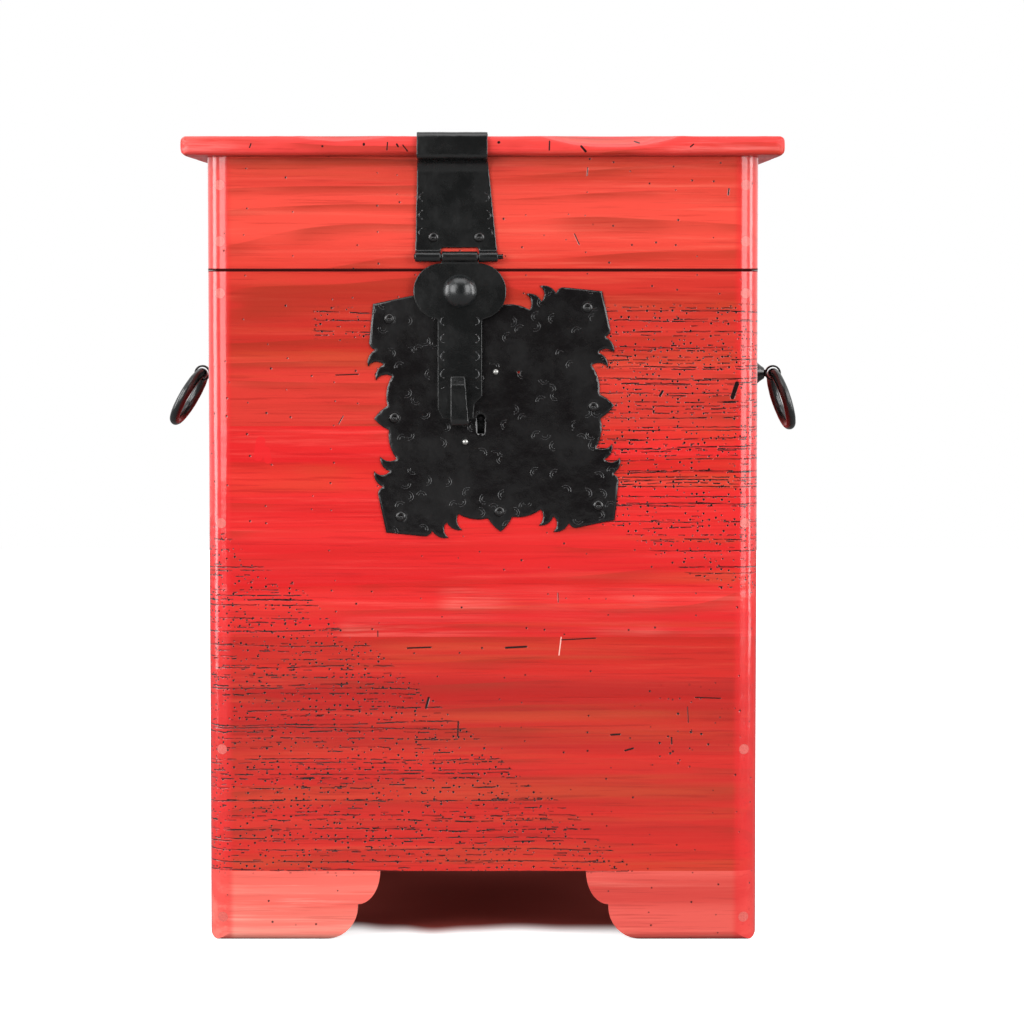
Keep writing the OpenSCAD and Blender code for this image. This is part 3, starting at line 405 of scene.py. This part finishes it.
def worn_damage(graph, place, run, z, heights):
    """The scratches and dots of the front, and the single cuts that lie between two heights."""
    flat = graph.vector(run, z, 0.0)
    rows = graph.most(*(scratch_rows(graph, run, z, *row) for row in DASH_ROWS))
    faded = graph.step(graph.noise(graph.scaled(flat, (60.0, 140.0, 1.0)), 1.0), 0.38, 0.60, 0.45, 1.0)
    dots = worm_holes(graph, flat, *FIELD_DOTS, "2D")
    field = graph.both(scratched_fields(graph, place), graph.most(graph.both(rows, faded), dots))
    damage = graph.most(field, worm_holes(graph, graph.moved(flat, (0.31, 0.17, 0)), *STRAY_DOTS, "2D"))
    if heights:
        near = graph.step(graph.length(graph.away(flat, CROWD_AT)), CROWD_ENDS, CROWD_FULL)
        crowd = graph.both(near, worm_holes(graph, graph.moved(flat, (0.7, 0.4, 0)), *CROWDED_DOTS, "2D"))
        damage = graph.most(damage, crowd, capsules(graph, place, CUTS, heights))
    return damage


def growth_rings(graph, place, along, seed):
    """The year rings on a sawn face: each darkens slowly and ends in a sharp line."""
    x, y, z = graph.parts(place)
    tilt = x if along == "y" else y
    across = graph.plus(z, graph.times(tilt, 0.7))
    stretch = (9.0, 1.7, 9.0) if along == "y" else (1.7, 9.0, 9.0)
    warp = graph.noise(graph.moved(graph.scaled(place, stretch), (seed, 2.0, 1.0)), 1.0, 2.0)
    rings = graph.plus(graph.over(across, RING_PITCH), graph.times(warp, RING_WANDER))
    saw = graph.math("FRACT", rings)
    return graph.both(graph.step(saw, 0.45, 0.96), graph.step(saw, 1.0, 0.97))


def make_pine(name, tone, along="x", worn=False, seed=0.0, heights=None, coat=1.0):
    """Stained and varnished pine, its grain along one axis. A worn one has the front's scratched fields, and
    one with heights also the single cuts and smears that lie between them."""
    material, graph, shader, place = new_material(name)
    on_foot, on_lid = tone.startswith("foot"), tone.startswith("lid")
    deep, main, light = (linear(*colour) for colour in TONES[tone])
    stretch = {"x": (1.6, 60.0, 60.0), "y": (60.0, 1.6, 60.0)}[along]
    grain = graph.moved(graph.scaled(place, stretch), (seed, seed * 1.7, seed * 0.6))
    bands = graph.noise(grain, 0.45, 3.0, 0.55, 0.5)
    streaks = graph.noise(grain, 2.2, 5.0, 0.68, 0.3)
    lines = graph.noise(graph.moved(grain, (5.0, 2.0, 9.0)), 8.0, 3.0, 0.6)
    amber_bands = graph.noise(graph.moved(grain, (3.1, 8.3, 5.7)), 0.62, 4.0, 0.6, 0.4)
    clouds = graph.noise(graph.moved(place, (seed, 0, 0)), 6.0, 2.0)

    # The stain: broad bands, amber where it is thin, light streaks and dark grain lines
    colour = graph.mix(graph.step(bands, 0.36, 0.62), deep, main)
    amber = graph.both(graph.step(amber_bands, 0.50, 0.66), graph.step(clouds, 0.62, 0.42, 0.25, 1.0))
    colour = graph.mix(graph.times(amber, 0.0 if on_foot else 0.42), colour, AMBER)
    lit = graph.both(graph.step(streaks, 0.50, 0.72), graph.step(clouds, 0.34, 0.66, 0.25, 1.0))
    colour = graph.mix(graph.times(lit, 0.70), colour, light)
    dark_lines = graph.both(graph.step(lines, 0.48, 0.33), graph.step(streaks, 0.62, 0.42, 0.35, 1.0))
    colour = graph.mix(graph.times(dark_lines, 0.46), colour, graph.mix(0.35, deep, SCRATCH_BROWN))
    rings = growth_rings(graph, place, along, seed)
    ring_patches = graph.noise(graph.moved(place, (0, seed, 4.0)), 8.0, 2.0)
    ring_depth = graph.step(ring_patches, 0.42, 0.62, 0.10, 0.55)
    colour = graph.mix(graph.both(rings, ring_depth, 0.25 if on_foot else 1.0), colour, RING_BROWN)

    # The wear: rubbed corners, smears, holes, cuts and scratches
    if worn:
        x, y, z = graph.parts(place)
        run = graph.plus(x, graph.times(graph.math("SIGN", x), graph.minus(y, FRONT_Y)))
        damage = worn_damage(graph, place, run, z, heights)
        rub = graph.step(graph.absolute(x), CASE_HALF_W - RUB_ENDS, CASE_HALF_W - RUB_FULL)
        rub = graph.both(rub, graph.step(y, FRONT_Y + 0.04, FRONT_Y + 0.02, 0.0, 0.55))
        colour = graph.mix(rub, colour, FRESH_RED)
    else:
        damage = worm_holes(graph, place, *WORM_HOLES)
        if heights:
            damage = graph.most(damage, capsules(graph, place, CUTS, heights))
    if heights and not on_lid:
        colour = graph.mix(graph.both(capsules(graph, place, RED_SMEARS, heights), 0.8), colour, FRESH_RED)
        smears = capsules(graph, place, PINK_SMEARS, heights, soft=0.012)
        pink = graph.both(smears, graph.step(streaks, 0.40, 0.66), graph.step(clouds, 0.35, 0.6), 0.75)
        colour = graph.mix(pink, colour, SMEAR_PINK)
        colour = graph.mix(capsules(graph, place, WHITE_SCRATCHES, heights), colour, SCRATCH_WHITE)
    colour = graph.mix(damage, colour, SCRATCH_BROWN)

    # The seam between lid and case has no varnish, and its colour is painted shade, darker on upright faces
    # than on level ones
    from_seam = graph.absolute(graph.minus(graph.parts(place)[2], (RIM_Z + RAIL_Z) / 2))
    bare_and_shaded = graph.step(from_seam, BARE_AND_SHADED_ENDS, BARE_AND_SHADED_FULL)
    facing = graph.parts(graph.add("ShaderNodeTexCoord").outputs["Normal"])[2]
    level = graph.step(graph.absolute(facing), 0.6, 0.8)
    graph.put(shader.inputs["Base Color"], graph.mix(bare_and_shaded, colour, graph.mix(level, SEAM_PAINTED_SHADE, SEAM_LEVEL_PAINTED_SHADE)))
    rough = graph.step(streaks, 0.3, 0.7, 0.36, 0.50)
    graph.put(shader.inputs["Roughness"], graph.math("MAXIMUM", rough, bare_and_shaded))
    graph.put(shader.inputs["Coat Weight"], graph.step(bare_and_shaded, 0.0, 1.0, coat, 0.0))
    coat_roughness = VARNISH_ROUGHNESS if coat > 0.5 else WORN_VARNISH_ROUGHNESS
    shader.inputs["Coat IOR"].default_value = VARNISH_IOR
    shader.inputs["Coat Roughness"].default_value = coat_roughness
    shader.inputs["Specular IOR Level"].default_value = 0.12

    uncut = graph.minus(1.0, damage)
    relief = graph.plus(graph.times(streaks, 0.6), graph.times(lines, 0.25))
    normal = graph.bump(uncut, 0.0008, 0.5, graph.bump(relief, 0.0005, 0.5))
    graph.put(shader.inputs["Normal"], normal)
    graph.put(shader.inputs["Coat Normal"], graph.bump(uncut, 0.0006, 0.4, graph.bump(bands, 0.0012, 0.6)))
    return material


def make_plug_wood():
    """The turned plugs: red end grain under varnish."""
    material, graph, shader, place = new_material("plug_wood")
    rings = graph.noise(place, 900.0, 3.0, 0.6)
    graph.put(shader.inputs["Base Color"], graph.mix(rings, linear(176, 44, 40), linear(236, 110, 98)))
    graph.put(shader.inputs["Normal"], graph.bump(rings, 0.0004, 0.6))
    shader.inputs["Roughness"].default_value = 0.5
    shader.inputs["Coat Weight"].default_value = 0.8
    shader.inputs["Coat Roughness"].default_value = VARNISH_ROUGHNESS
    return material


# ---- Iron ----

PIT_RUST = linear(58, 46, 40)
# The struck marks' colour: bare worn metal, and a painted glint on them
STRUCK_GREY_AND_GLINT = linear(60, 62, 66)
# Struck marks: the cell that holds one double arc and the arcs' radii, and the crescents' pitch and radius
ARC_CELL = 0.014
ARC_RADII = (0.0022, 0.0040)
CRESCENT_PITCH = 0.0140
CRESCENT_RADIUS = 0.0034


def chisel_marks(graph, place, share):
    """Struck double arcs: in a share of the cells, two arcs round the cell's middle, open to one side."""
    x, _, z = graph.parts(place)
    flat = graph.vector(x, z, 0.0)
    cells = graph.cells(flat, 1.0 / ARC_CELL, "2D")
    chance = graph.parts(cells["Color"])
    reach = graph.times(cells["Distance"], ARC_CELL)
    local = graph.unit(graph.away(flat, cells["Position"]))
    facing = graph.unit(graph.away(cells["Color"], (0.5, 0.5, 0.5)))
    facing_x, facing_y, _ = graph.parts(facing)
    side = graph.dot(local, graph.unit(graph.vector(facing_x, facing_y, 0.0)))
    arcs = [graph.step(graph.absolute(graph.minus(reach, radius)), 0.00036, 0.00008) for radius in ARC_RADII]
    chosen = graph.step(chance[2], share + 0.01, share - 0.01)
    return graph.both(graph.most(*arcs), graph.step(side, 0.15, 0.45), chosen)


def side_edge(low, high, side):
    """A straight side edge through two points (x, z): its x at z = 0, its slope dx/dz and its side."""
    slope = (high[0] - low[0]) / (high[1] - low[1])
    return low[0] - slope * low[1], slope, side


def edge_crescents(graph, place, edges, low_z, high_z):
    """Struck crescents in a row along each side edge, each one's back to the edge."""
    x, _, z = graph.parts(place)
    across = graph.math("FRACT", graph.over(z, CRESCENT_PITCH))
    across = graph.times(graph.minus(across, 0.5), CRESCENT_PITCH)
    masks = []
    for offset, slope, side in edges:
        edge_x = graph.plus(graph.times(z, slope), offset)
        inwards = graph.times(graph.minus(edge_x, x), float(side))
        centred = graph.minus(inwards, 1.75 * CRESCENT_RADIUS)
        reach = graph.plus(graph.math("POWER", centred, 2.0), graph.math("POWER", across, 2.0))
        off = graph.absolute(graph.minus(graph.math("POWER", reach, 0.5), CRESCENT_RADIUS))
        masks.append(graph.both(graph.step(off, 0.00055, 0.00015), graph.step(centred, -0.0006, -0.0014)))
    above, below = graph.step(z, low_z, low_z + 0.001), graph.step(z, high_z, high_z - 0.001)
    return graph.both(graph.most(*masks), above, below)


def make_black_iron(name="black_iron_finish", rough=0.26, tint=(18, 15, 16), marks=0.0, crescents=None):
    """Hammered iron with an oil-black skin: uneven tone, small pits, shine that comes and goes. It has struck
    double arcs in a share of its cells, or crescents along its edges, or neither."""
    material, graph, shader, place = new_material(name)
    patches = graph.noise(place, 38.0, 4.0, 0.6)
    pits = graph.noise(place, 420.0, 3.0, 0.6)
    base = linear(*tint)
    darker = tuple(c * 0.6 for c in base[:3]) + (1,)
    colour = graph.mix(graph.step(patches, 0.35, 0.7), darker, base)
    colour = graph.mix(graph.times(graph.step(pits, 0.6, 0.8), 0.25), colour, PIT_RUST)
    normal = graph.bump(graph.noise(place, 120.0, 1.0, 0.4), 0.0012, 0.30)
    if marks or crescents:
        struck = edge_crescents(graph, place, *crescents) if crescents else chisel_marks(graph, place, marks)
        # The struck marks are lightened: worn metal and a painted glint
        colour = graph.mix(graph.times(struck, 0.32), colour, STRUCK_GREY_AND_GLINT)
        normal = graph.bump(graph.minus(1.0, struck), 0.0007, 0.9, normal)
    graph.put(shader.inputs["Base Color"], colour)
    graph.put(shader.inputs["Roughness"], graph.step(patches, 0.3, 0.7, rough + 0.08, rough - 0.08))
    shader.inputs["Metallic"].default_value = 0.30
    shader.inputs["Specular IOR Level"].default_value = 1.0
    graph.put(shader.inputs["Normal"], graph.bump(pits, 0.0002, 0.5, normal))
    return material


# ---- Forged pieces, made over the frame's ironwork ----

BODY_OF = {node: body for body, names in frame["record"]["behaviour"]["bodies"].items() for node in names}


def link_piece(name, mesh, node, material):
    """Links a mesh as the piece that stands for one CAD node."""
    piece = bpy.data.objects.new(name, mesh)
    bpy.context.collection.objects.link(piece)
    mesh.materials.clear()
    mesh.materials.append(material)
    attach(piece, BODY_OF.get(node, "case"))
    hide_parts(node)
    return piece


def remeshed(node, voxel, rounding):
    """A closed copy of a CAD node's mesh in even small faces, its sharp edges rounded by smoothing."""
    carrier = bpy.data.objects.new("carrier", nodes[node].data.copy())
    bpy.context.collection.objects.link(carrier)
    remesh = carrier.modifiers.new("remesh", "REMESH")
    remesh.mode = "VOXEL"
    remesh.voxel_size = voxel
    smooth = carrier.modifiers.new("smooth", "SMOOTH")
    smooth.factor = 0.5
    smooth.iterations = rounding
    mesh = bpy.data.meshes.new_from_object(carrier.evaluated_get(bpy.context.evaluated_depsgraph_get()))
    bpy.data.objects.remove(carrier)
    return mesh


def pressed_in(mesh, depth_at):
    """Moves each vertex in along its normal by what depth_at gives for its place, and shades it smooth."""
    places = np.empty(3 * len(mesh.vertices))
    normals = np.empty(3 * len(mesh.vertices))
    mesh.vertices.foreach_get("co", places)
    mesh.vertices.foreach_get("normal", normals)
    places, normals = places.reshape(-1, 3), normals.reshape(-1, 3)
    depths = np.array([depth_at(Vector(place)) for place in places])
    mesh.vertices.foreach_set("co", (places - normals * depths[:, None]).ravel())
    mesh.polygons.foreach_set("use_smooth", [True] * len(mesh.polygons))
    mesh.update()


def forged(node, material, voxel=0.0007, rounding=3, dent=0.0003, dent_size=0.008):
    """A piece over a CAD node with rounded edges and hammer dents, which only go inwards."""
    def dents(place):
        deep = 0.5 + 0.5 * noise.noise(place / dent_size)
        fine = 0.5 + 0.5 * noise.noise(place / (0.35 * dent_size) + Vector((7, 3, 5)))
        return dent * (0.7 * deep + 0.3 * fine)

    mesh = remeshed(node, voxel, rounding)
    pressed_in(mesh, dents)
    return link_piece(f"{node}_forged", mesh, node, material)


def front_loops(node):
    """The closed loops round the front face of a CAD node, as lists of (x, z), and that face's y."""
    shape = bmesh.new()
    shape.from_mesh(nodes[node].data)
    bmesh.ops.remove_doubles(shape, verts=shape.verts, dist=1e-6)
    y = min(vertex.co.y for vertex in shape.verts)
    front = {face for face in shape.faces if all(abs(v.co.y - y) < 2e-5 for v in face.verts)}
    after = {}
    for face in front:
        for loop in face.loops:
            if sum(other in front for other in loop.edge.link_faces) == 1:
                after[loop.vert.index] = (loop.link_loop_next.vert.index, (loop.vert.co.x, loop.vert.co.z))
    shape.free()
    loops = []
    while after:
        start = index = next(iter(after))
        points = []
        while index in after:
            index, point = after.pop(index)
            points.append(point)
        loops.append(points)
    return sorted(loops, key=len, reverse=True), y


def segments_of(loops):
    return np.array([[*a, *b] for loop in loops for a, b in zip(loop, loop[1:] + loop[:1])])


def are_inside(points, segments):
    """Which points lie within the outer loop and outside the holes, by the even-odd rule."""
    x, z = points[:, :1], points[:, 1:]
    x0, z0, x1, z1 = segments.T
    rise = np.where(z1 == z0, 1e-12, z1 - z0)
    crossed = ((z0 > z) != (z1 > z)) & (x < x0 + (z - z0) / rise * (x1 - x0))
    return crossed.sum(axis=1) % 2 == 1


def distances(points, segments):
    """How far each point lies from the nearest segment."""
    start, along = segments[:, :2], segments[:, 2:] - segments[:, :2]
    length = np.maximum((along**2).sum(axis=1), 1e-18)
    offset = points[:, None] - start
    share = np.clip((offset * along).sum(axis=2) / length, 0, 1)
    return np.linalg.norm(offset - share[..., None] * along, axis=2).min(axis=1)


def inset_points(loops, depth, segments):
    """Points a little way in from the loops, for the filed edge of a sheet."""
    points = []
    for loop in loops:
        ring = np.array(loop)
        run = np.roll(ring, -1, axis=0) - np.roll(ring, 1, axis=0)
        out = np.stack([run[:, 1], -run[:, 0]], axis=1)
        out /= np.maximum(np.linalg.norm(out, axis=1, keepdims=True), 1e-12)
        for side in (-1, 1):
            points.append(ring + side * depth * out)
    points = np.concatenate(points)
    points = points[are_inside(points, segments)]
    return points[distances(points, segments) > 0.75 * depth]


def hammered_sheet(node, material, pitch=0.0018, rim=0.0006):
    """A flat iron sheet over a CAD node that faces the front: filed edges, a hammered face, the node's own
    outline and holes."""
    loops, y = front_loops(node)
    low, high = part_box(node)
    segments = segments_of(loops)
    columns = np.arange(low.x, high.x, pitch)
    rows = np.arange(low.z, high.z, pitch * 0.87)
    grid = np.array([(x + (row % 2) * pitch / 2, z) for row, z in enumerate(rows) for x in columns])
    grid = grid[are_inside(grid, segments)]
    grid = grid[distances(grid, segments) > rim + 0.5 * pitch]
    edge = [point for loop in loops for point in loop]
    ends, first = [], 0
    for loop in loops:
        ends += [(first + i, first + (i + 1) % len(loop)) for i in range(len(loop))]
        first += len(loop)
    flat = [Vector(point) for points in (edge, inset_points(loops, rim, segments), grid) for point in points]
    flat, _, faces, origins, _, _ = delaunay_2d_cdt(flat, ends, [], 0, 1e-7)
    middles = np.array([sum((flat[i] for i in face), Vector((0, 0))) / len(face) for face in faces])
    faces = [face for face, kept in zip(faces, are_inside(middles, segments)) if kept]
    on_edge = [any(origin < len(edge) for origin in origin_list) for origin_list in origins]
    shape = bmesh.new()
    fronts, backs = [], []
    for point, at_rim in zip(flat, on_edge):
        broad = 0.5 + 0.5 * noise.noise(Vector((point.x, 0, point.y)) / 0.013)
        small = 0.5 + 0.5 * noise.noise(Vector((point.x, 4, point.y)) / 0.0045)
        depth = 0.0005 if at_rim else 0.00034 * broad + 0.00010 * small
        fronts.append(shape.verts.new((point.x, y + depth, point.y)))
        backs.append(shape.verts.new((point.x, high.y, point.y)))
    for face in faces:
        a, b, c = (flat[i] for i in face)
        turned = (b - a).cross(c - a) < 0
        order = list(face) if not turned else list(reversed(face))
        shape.faces.new([fronts[i] for i in order]).smooth = True
        shape.faces.new([backs[i] for i in reversed(order)])
    behind = dict(zip(fronts, backs))
    for rim_edge in [e for e in shape.edges if len(e.link_faces) == 1 and e.verts[0] in behind]:
        a, b = rim_edge.verts
        shape.faces.new([a, b, behind[b], behind[a]])
    bmesh.ops.delete(shape, geom=[v for v in shape.verts if not v.link_faces], context="VERTS")
    bmesh.ops.recalc_face_normals(shape, faces=shape.faces)
    mesh = bpy.data.meshes.new(f"{node}_sheet")
    shape.to_mesh(mesh)
    shape.free()
    return link_piece(f"{node}_sheet", mesh, node, material)


def islands(node):
    """The vertex places of each separate solid in a CAD node."""
    shape = bmesh.new()
    shape.from_mesh(nodes[node].data)
    bmesh.ops.remove_doubles(shape, verts=shape.verts, dist=1e-6)
    left, found = set(shape.verts), []
    while left:
        reached, open_ends = set(), [left.pop()]
        while open_ends:
            vertex = open_ends.pop()
            if vertex not in reached:
                reached.add(vertex)
                open_ends += [edge.other_vert(vertex) for edge in vertex.link_edges]
        left -= reached
        found.append(np.array([vertex.co for vertex in reached]))
    shape.free()
    return found


# A screw's half profile from the middle of its head to its tip: radius and depth below the iron
SCREW_PROFILE = [
    (0.0, 0.0004), (0.0011, 0.0003), (0.0014, -0.0006), (0.0019, -0.0011), (0.0028, -0.0009),
    (0.0036, -0.0004), (0.0040, 0.0002), (0.0040, 0.0008), (0.0016, 0.0020), (0.0016, 0.0130), (0.0, 0.0150)]
# How far a head stands up. The upright screws are sunk by it, to stay within the solid's height
HEAD_RISE = 0.0011


def round_head_screws(node, material, sides=24):
    """Screws with raised round heads and a sunk middle, each on the line of one of the CAD node's screws."""
    shape = bmesh.new()
    for points in islands(node):
        low, high = points.min(axis=0), points.max(axis=0)
        axis = int(np.argmax(high - low))
        across = [i for i in range(3) if i != axis]
        middle = (low + high) / 2
        reach = np.linalg.norm((points - middle)[:, across], axis=1)
        widest = points[np.argmax(reach), axis]
        inwards = 1.0 if widest < middle[axis] else -1.0
        head = low[axis] if inwards > 0 else high[axis]
        if axis == 2:
            head += inwards * HEAD_RISE
        rings = []
        for radius, depth in SCREW_PROFILE:
            ring = []
            for step in range(sides):
                place = middle.copy()
                place[axis] = head + inwards * depth
                place[across[0]] += radius * math.cos(math.tau * step / sides)
                place[across[1]] += radius * math.sin(math.tau * step / sides)
                ring.append(shape.verts.new(place))
            rings.append(ring)
        for inner, outer in zip(rings, rings[1:]):
            for step in range(sides):
                after = (step + 1) % sides
                shape.faces.new([inner[step], inner[after], outer[after], outer[step]]).smooth = True
    bmesh.ops.remove_doubles(shape, verts=shape.verts, dist=1e-6)
    bmesh.ops.recalc_face_normals(shape, faces=shape.faces)
    mesh = bpy.data.meshes.new(f"{node}_round")
    shape.to_mesh(mesh)
    shape.free()
    return link_piece(f"{node}_round", mesh, node, material)


def hewn_lid_edge(node, material):
    """The front board of the lid, its long front edge uneven as an axe and a knife leave it."""
    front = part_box(node)[0].y

    def cuts(place):
        near = max(0.0, 1 - (place.y - front) / 0.030)
        waves = 0.5 + 0.5 * noise.noise(Vector((place.x, 0, 0)) / 0.034)
        facets = 0.5 + 0.5 * noise.noise(Vector((place.x / 0.011, place.y / 0.02, place.z / 0.009)))
        return near * (0.0014 * waves + 0.0006 * facets)

    mesh = remeshed(node, 0.0016, 3)
    pressed_in(mesh, cuts)
    return link_piece(f"{node}_hewn", mesh, node, material)


def closed_rail(node, drop=0.0005):
    """A rail of the lid whose planed lower edge comes down closer to the case's rim than the solid's does."""
    mesh = nodes[node].data.copy()
    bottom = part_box(node)[0].z
    for vertex in mesh.vertices:
        if vertex.co.z < bottom + 0.0001:
            vertex.co.z -= drop
    return link_piece(f"{node}_closed", mesh, node, nodes[node].material_slots[0].material)


# ---- Stage ----

# What the camera sees of the floor, a painted red-brown shadow under the chest and the floor clear of it, and
# what every other ray sees
FLOOR_SHADOW = (0.50, 0.10, 0.08, 1)
FLOOR_CLEAR = (0.97, 0.97, 0.97, 1)
FLOOR_UNSEEN = (0.20, 0.20, 0.20, 1)
# How brightly the clear floor glows for the camera near the chest, and where it starts and ends to turn white
FLOOR_GLOW = 0.70
WHITE_STARTS, WHITE_FULL = 0.35, 0.70
# How far behind the front the painted shadow starts and is full, where its wavy edge lies furthest forward
SHADOW_STARTS, SHADOW_FULL = 0.060, 0.120
SHADOW_WAVE = 0.08
# The world's light: diffuse from above, and mirrored from the camera's side and from elsewhere
SKY_LEVEL = 0.80
MIRRORED_FRONT, MIRRORED_SIDES = 0.03, 1.0


def make_floor():
    """A plain pale floor that turns into the white backdrop further off. Under the chest the camera sees a
    painted red-brown shadow.
    """
    mesh = bpy.data.meshes.new("floor")
    shape = bmesh.new()
    bmesh.ops.create_grid(shape, x_segments=8, y_segments=8, size=4.0)
    shape.to_mesh(mesh)
    shape.free()
    floor = bpy.data.objects.new("floor", mesh)
    bpy.context.collection.objects.link(floor)
    material, graph, shader, place = new_material("floor_white")
    camera_ray = graph.add("ShaderNodeLightPath").outputs["Is Camera Ray"]
    x, y, _ = graph.parts(place)
    away = graph.length(place)
    wave = graph.times(graph.noise(graph.vector(x, 0.0, 3.0), 14.0, 1.0), SHADOW_WAVE)
    clear = graph.most(
        graph.step(graph.plus(y, wave), FRONT_Y + SHADOW_FULL, FRONT_Y + SHADOW_STARTS),
        graph.step(graph.absolute(x), CASE_HALF_W - 0.022, CASE_HALF_W - 0.002),
        graph.step(y, -FRONT_Y - 0.02, -FRONT_Y))
    # A painted red-brown shadow under the chest, for the camera only
    seen = graph.mix(clear, FLOOR_SHADOW, FLOOR_CLEAR)
    lift = graph.math("MAXIMUM", graph.times(clear, FLOOR_GLOW), graph.step(away, WHITE_STARTS, WHITE_FULL))
    graph.put(shader.inputs["Base Color"], graph.mix(camera_ray, FLOOR_UNSEEN, seen))
    shader.inputs["Roughness"].default_value = 0.9
    shader.inputs["Specular IOR Level"].default_value = 0.0
    shader.inputs["Emission Color"].default_value = (1, 1, 1, 1)
    graph.put(shader.inputs["Emission Strength"], graph.times(camera_ray, lift))
    mesh.materials.append(material)


def make_world():
    """Soft studio surroundings. The camera sees white. Glossy rays see white to the sides and behind, and
    dark on the camera's side. The diffuse light comes from above."""
    world = bpy.data.worlds.new("studio")
    bpy.context.scene.world = world
    world.use_nodes = True
    graph = Graph(world.node_tree)
    background = world.node_tree.nodes["Background"]
    direction = graph.add("ShaderNodeTexCoord").outputs["Generated"]
    _, y, z = graph.parts(direction)
    path = graph.add("ShaderNodeLightPath").outputs
    mirror = graph.step(y, -0.80, -0.30, MIRRORED_FRONT, MIRRORED_SIDES)
    from_above = graph.step(z, -0.15, 0.35, 0.0, SKY_LEVEL)
    inputs = {0: path["Is Glossy Ray"], 2: from_above, 3: mirror}
    level = graph.add("ShaderNodeMix", inputs, data_type="FLOAT").outputs[0]
    graph.put(background.inputs["Strength"], graph.math("MAXIMUM", level, path["Is Camera Ray"]))
    background.inputs["Color"].default_value = (1, 1, 1, 1)


# The softboxes: place, width and height, power in watts, and the point that they are turned to
LAMPS = {
    "key_front_left": ((-1.62, -2.07, 1.15), (1.5, 2.0), 43),
    "fill_front_right": ((1.86, -1.86, 1.05), (1.3, 2.0), 36),
    "top": ((0, -0.9, 2.5), (2.2, 1.4), 13),
    "strip_left": ((-2.42, -0.35, 0.9), (0.9, 2.0), 34),
    "strip_right": ((2.42, -0.35, 0.9), (0.7, 2.0), 26),
}
LAMPS_AIM = (0, 0, 0.35)


def make_lights():
    for name, (at, size, power) in LAMPS.items():
        data = bpy.data.lights.new(name, "AREA")
        data.shape = "RECTANGLE"
        data.size, data.size_y = size
        data.energy = power
        lamp = bpy.data.objects.new(name, data)
        lamp.location = at
        lamp.rotation_euler = (Vector(LAMPS_AIM) - Vector(at)).to_track_quat("-Z", "Y").to_euler()
        bpy.context.collection.objects.link(lamp)


# ---- Put it together ----

bpy.context.scene.view_settings.view_transform = "Standard"
make_camera()
make_world()
make_lights()
make_floor()

for wall, along in (("front", "x"), ("back", "x"), ("left", "y"), ("right", "y")):
    for height in ("upper", "middle", "lower"):
        board = f"{wall}_board_{height}"
        low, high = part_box(board)
        heights = (low.z, high.z) if wall == "front" else None
        wood = make_pine(f"pine_{wall}_{height}", height, along, wall != "back", len(board), heights)
        dress(wood, board)
dress(make_pine("pine_foot_front_left", "foot_left", worn=True), "foot_front_left")
dress(make_pine("pine_foot_front_right", "foot", worn=True, seed=2.0), "foot_front_right")
dress(make_pine("pine_foot_back", "foot"), "foot_back_left", "foot_back_right")
dress(
    make_pine("pine_foot_side", "foot", "y", worn=True),
    "foot_left_side_front", "foot_left_side_back", "foot_right_side_front", "foot_right_side_back")
lid_front_pine = make_pine("pine_lid_edge", "lid_edge", heights=(lid_low.z, lid_high.z), coat=LID_TOP_VARNISH)
dress(lid_front_pine, "lid_board_front")
dress(make_pine("pine_lid_top", "lid_edge", coat=LID_TOP_VARNISH), "lid_board_middle", "lid_board_back")
dress(make_pine("pine_skirt_front", "lid_skirt", worn=True, heights=(RIM_Z, lid_low.z)), "lid_rail_front")
dress(make_pine("pine_skirt_back", "lid_skirt"), "lid_rail_back")
dress(make_pine("pine_skirt_side", "lid_skirt", "y"), "lid_rail_left", "lid_rail_right")
dress(make_pine("pine_bottom", "lower"), "bottom_board_front", "bottom_board_back", "bottom_cleats")
dress(make_plug_wood(), "case_plugs", "lid_plugs")

black_iron = make_black_iron()
dress(
    black_iron, "hasp_pin", "hasp_staple", "lock_case", "left_hinge_case_leaf", "right_hinge_case_leaf",
    "left_hinge_lid_leaf", "right_hinge_lid_leaf", "hinge_pins", "case_screws", "lid_screws")
struck_iron = make_black_iron("struck_iron_finish", marks=0.5)
strap_low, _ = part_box("hasp_strap")
tongue_low, tongue_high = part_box("hasp_tongue")
tongue_x = (tongue_low.x + tongue_high.x) / 2
strap_edges = [side_edge(*STRAP_LEFT_EDGE, -1), side_edge(*STRAP_RIGHT_EDGE, 1)]
tongue_edges = [(tongue_x - TONGUE_HALF_W, 0.0, -1), (tongue_x + TONGUE_HALF_W, 0.0, 1)]
strap_marks = (strap_edges, strap_low.z + 0.022, lid_low.z - 0.022)
tongue_marks = (tongue_edges, tongue_low.z + 0.030, tongue_high.z - 0.052)
strap_iron = make_black_iron("strap_iron_finish", tint=(23, 24, 24), crescents=strap_marks)
tongue_iron = make_black_iron("tongue_iron_finish", tint=(22, 23, 23), crescents=tongue_marks)
worn_iron = make_black_iron("worn_iron_finish", 0.24, (29, 32, 33))
dress(worn_iron, "hasp_dome_stud")
hammered_sheet("lock_plate", struck_iron)
forged("hasp_strap", strap_iron, voxel=0.0008)
forged("hasp_tongue", tongue_iron, voxel=0.0007)
for side in ("left", "right"):
    forged(f"{side}_ring", worn_iron, voxel=0.0008, dent=0.0005, dent_size=0.012)
    forged(f"{side}_eye", black_iron, voxel=0.0005, rounding=2, dent=0.0002)
    forged(f"{side}_rosette", black_iron, voxel=0.0008, rounding=2)
for screws in ("strap_screws", "lock_plate_screws", "hinge_case_screws", "hinge_lid_screws"):
    round_head_screws(screws, black_iron)
hewn_lid_edge("lid_board_front", lid_front_pine)
for side in ("front", "back", "left", "right"):
    closed_rail(f"lid_rail_{side}")
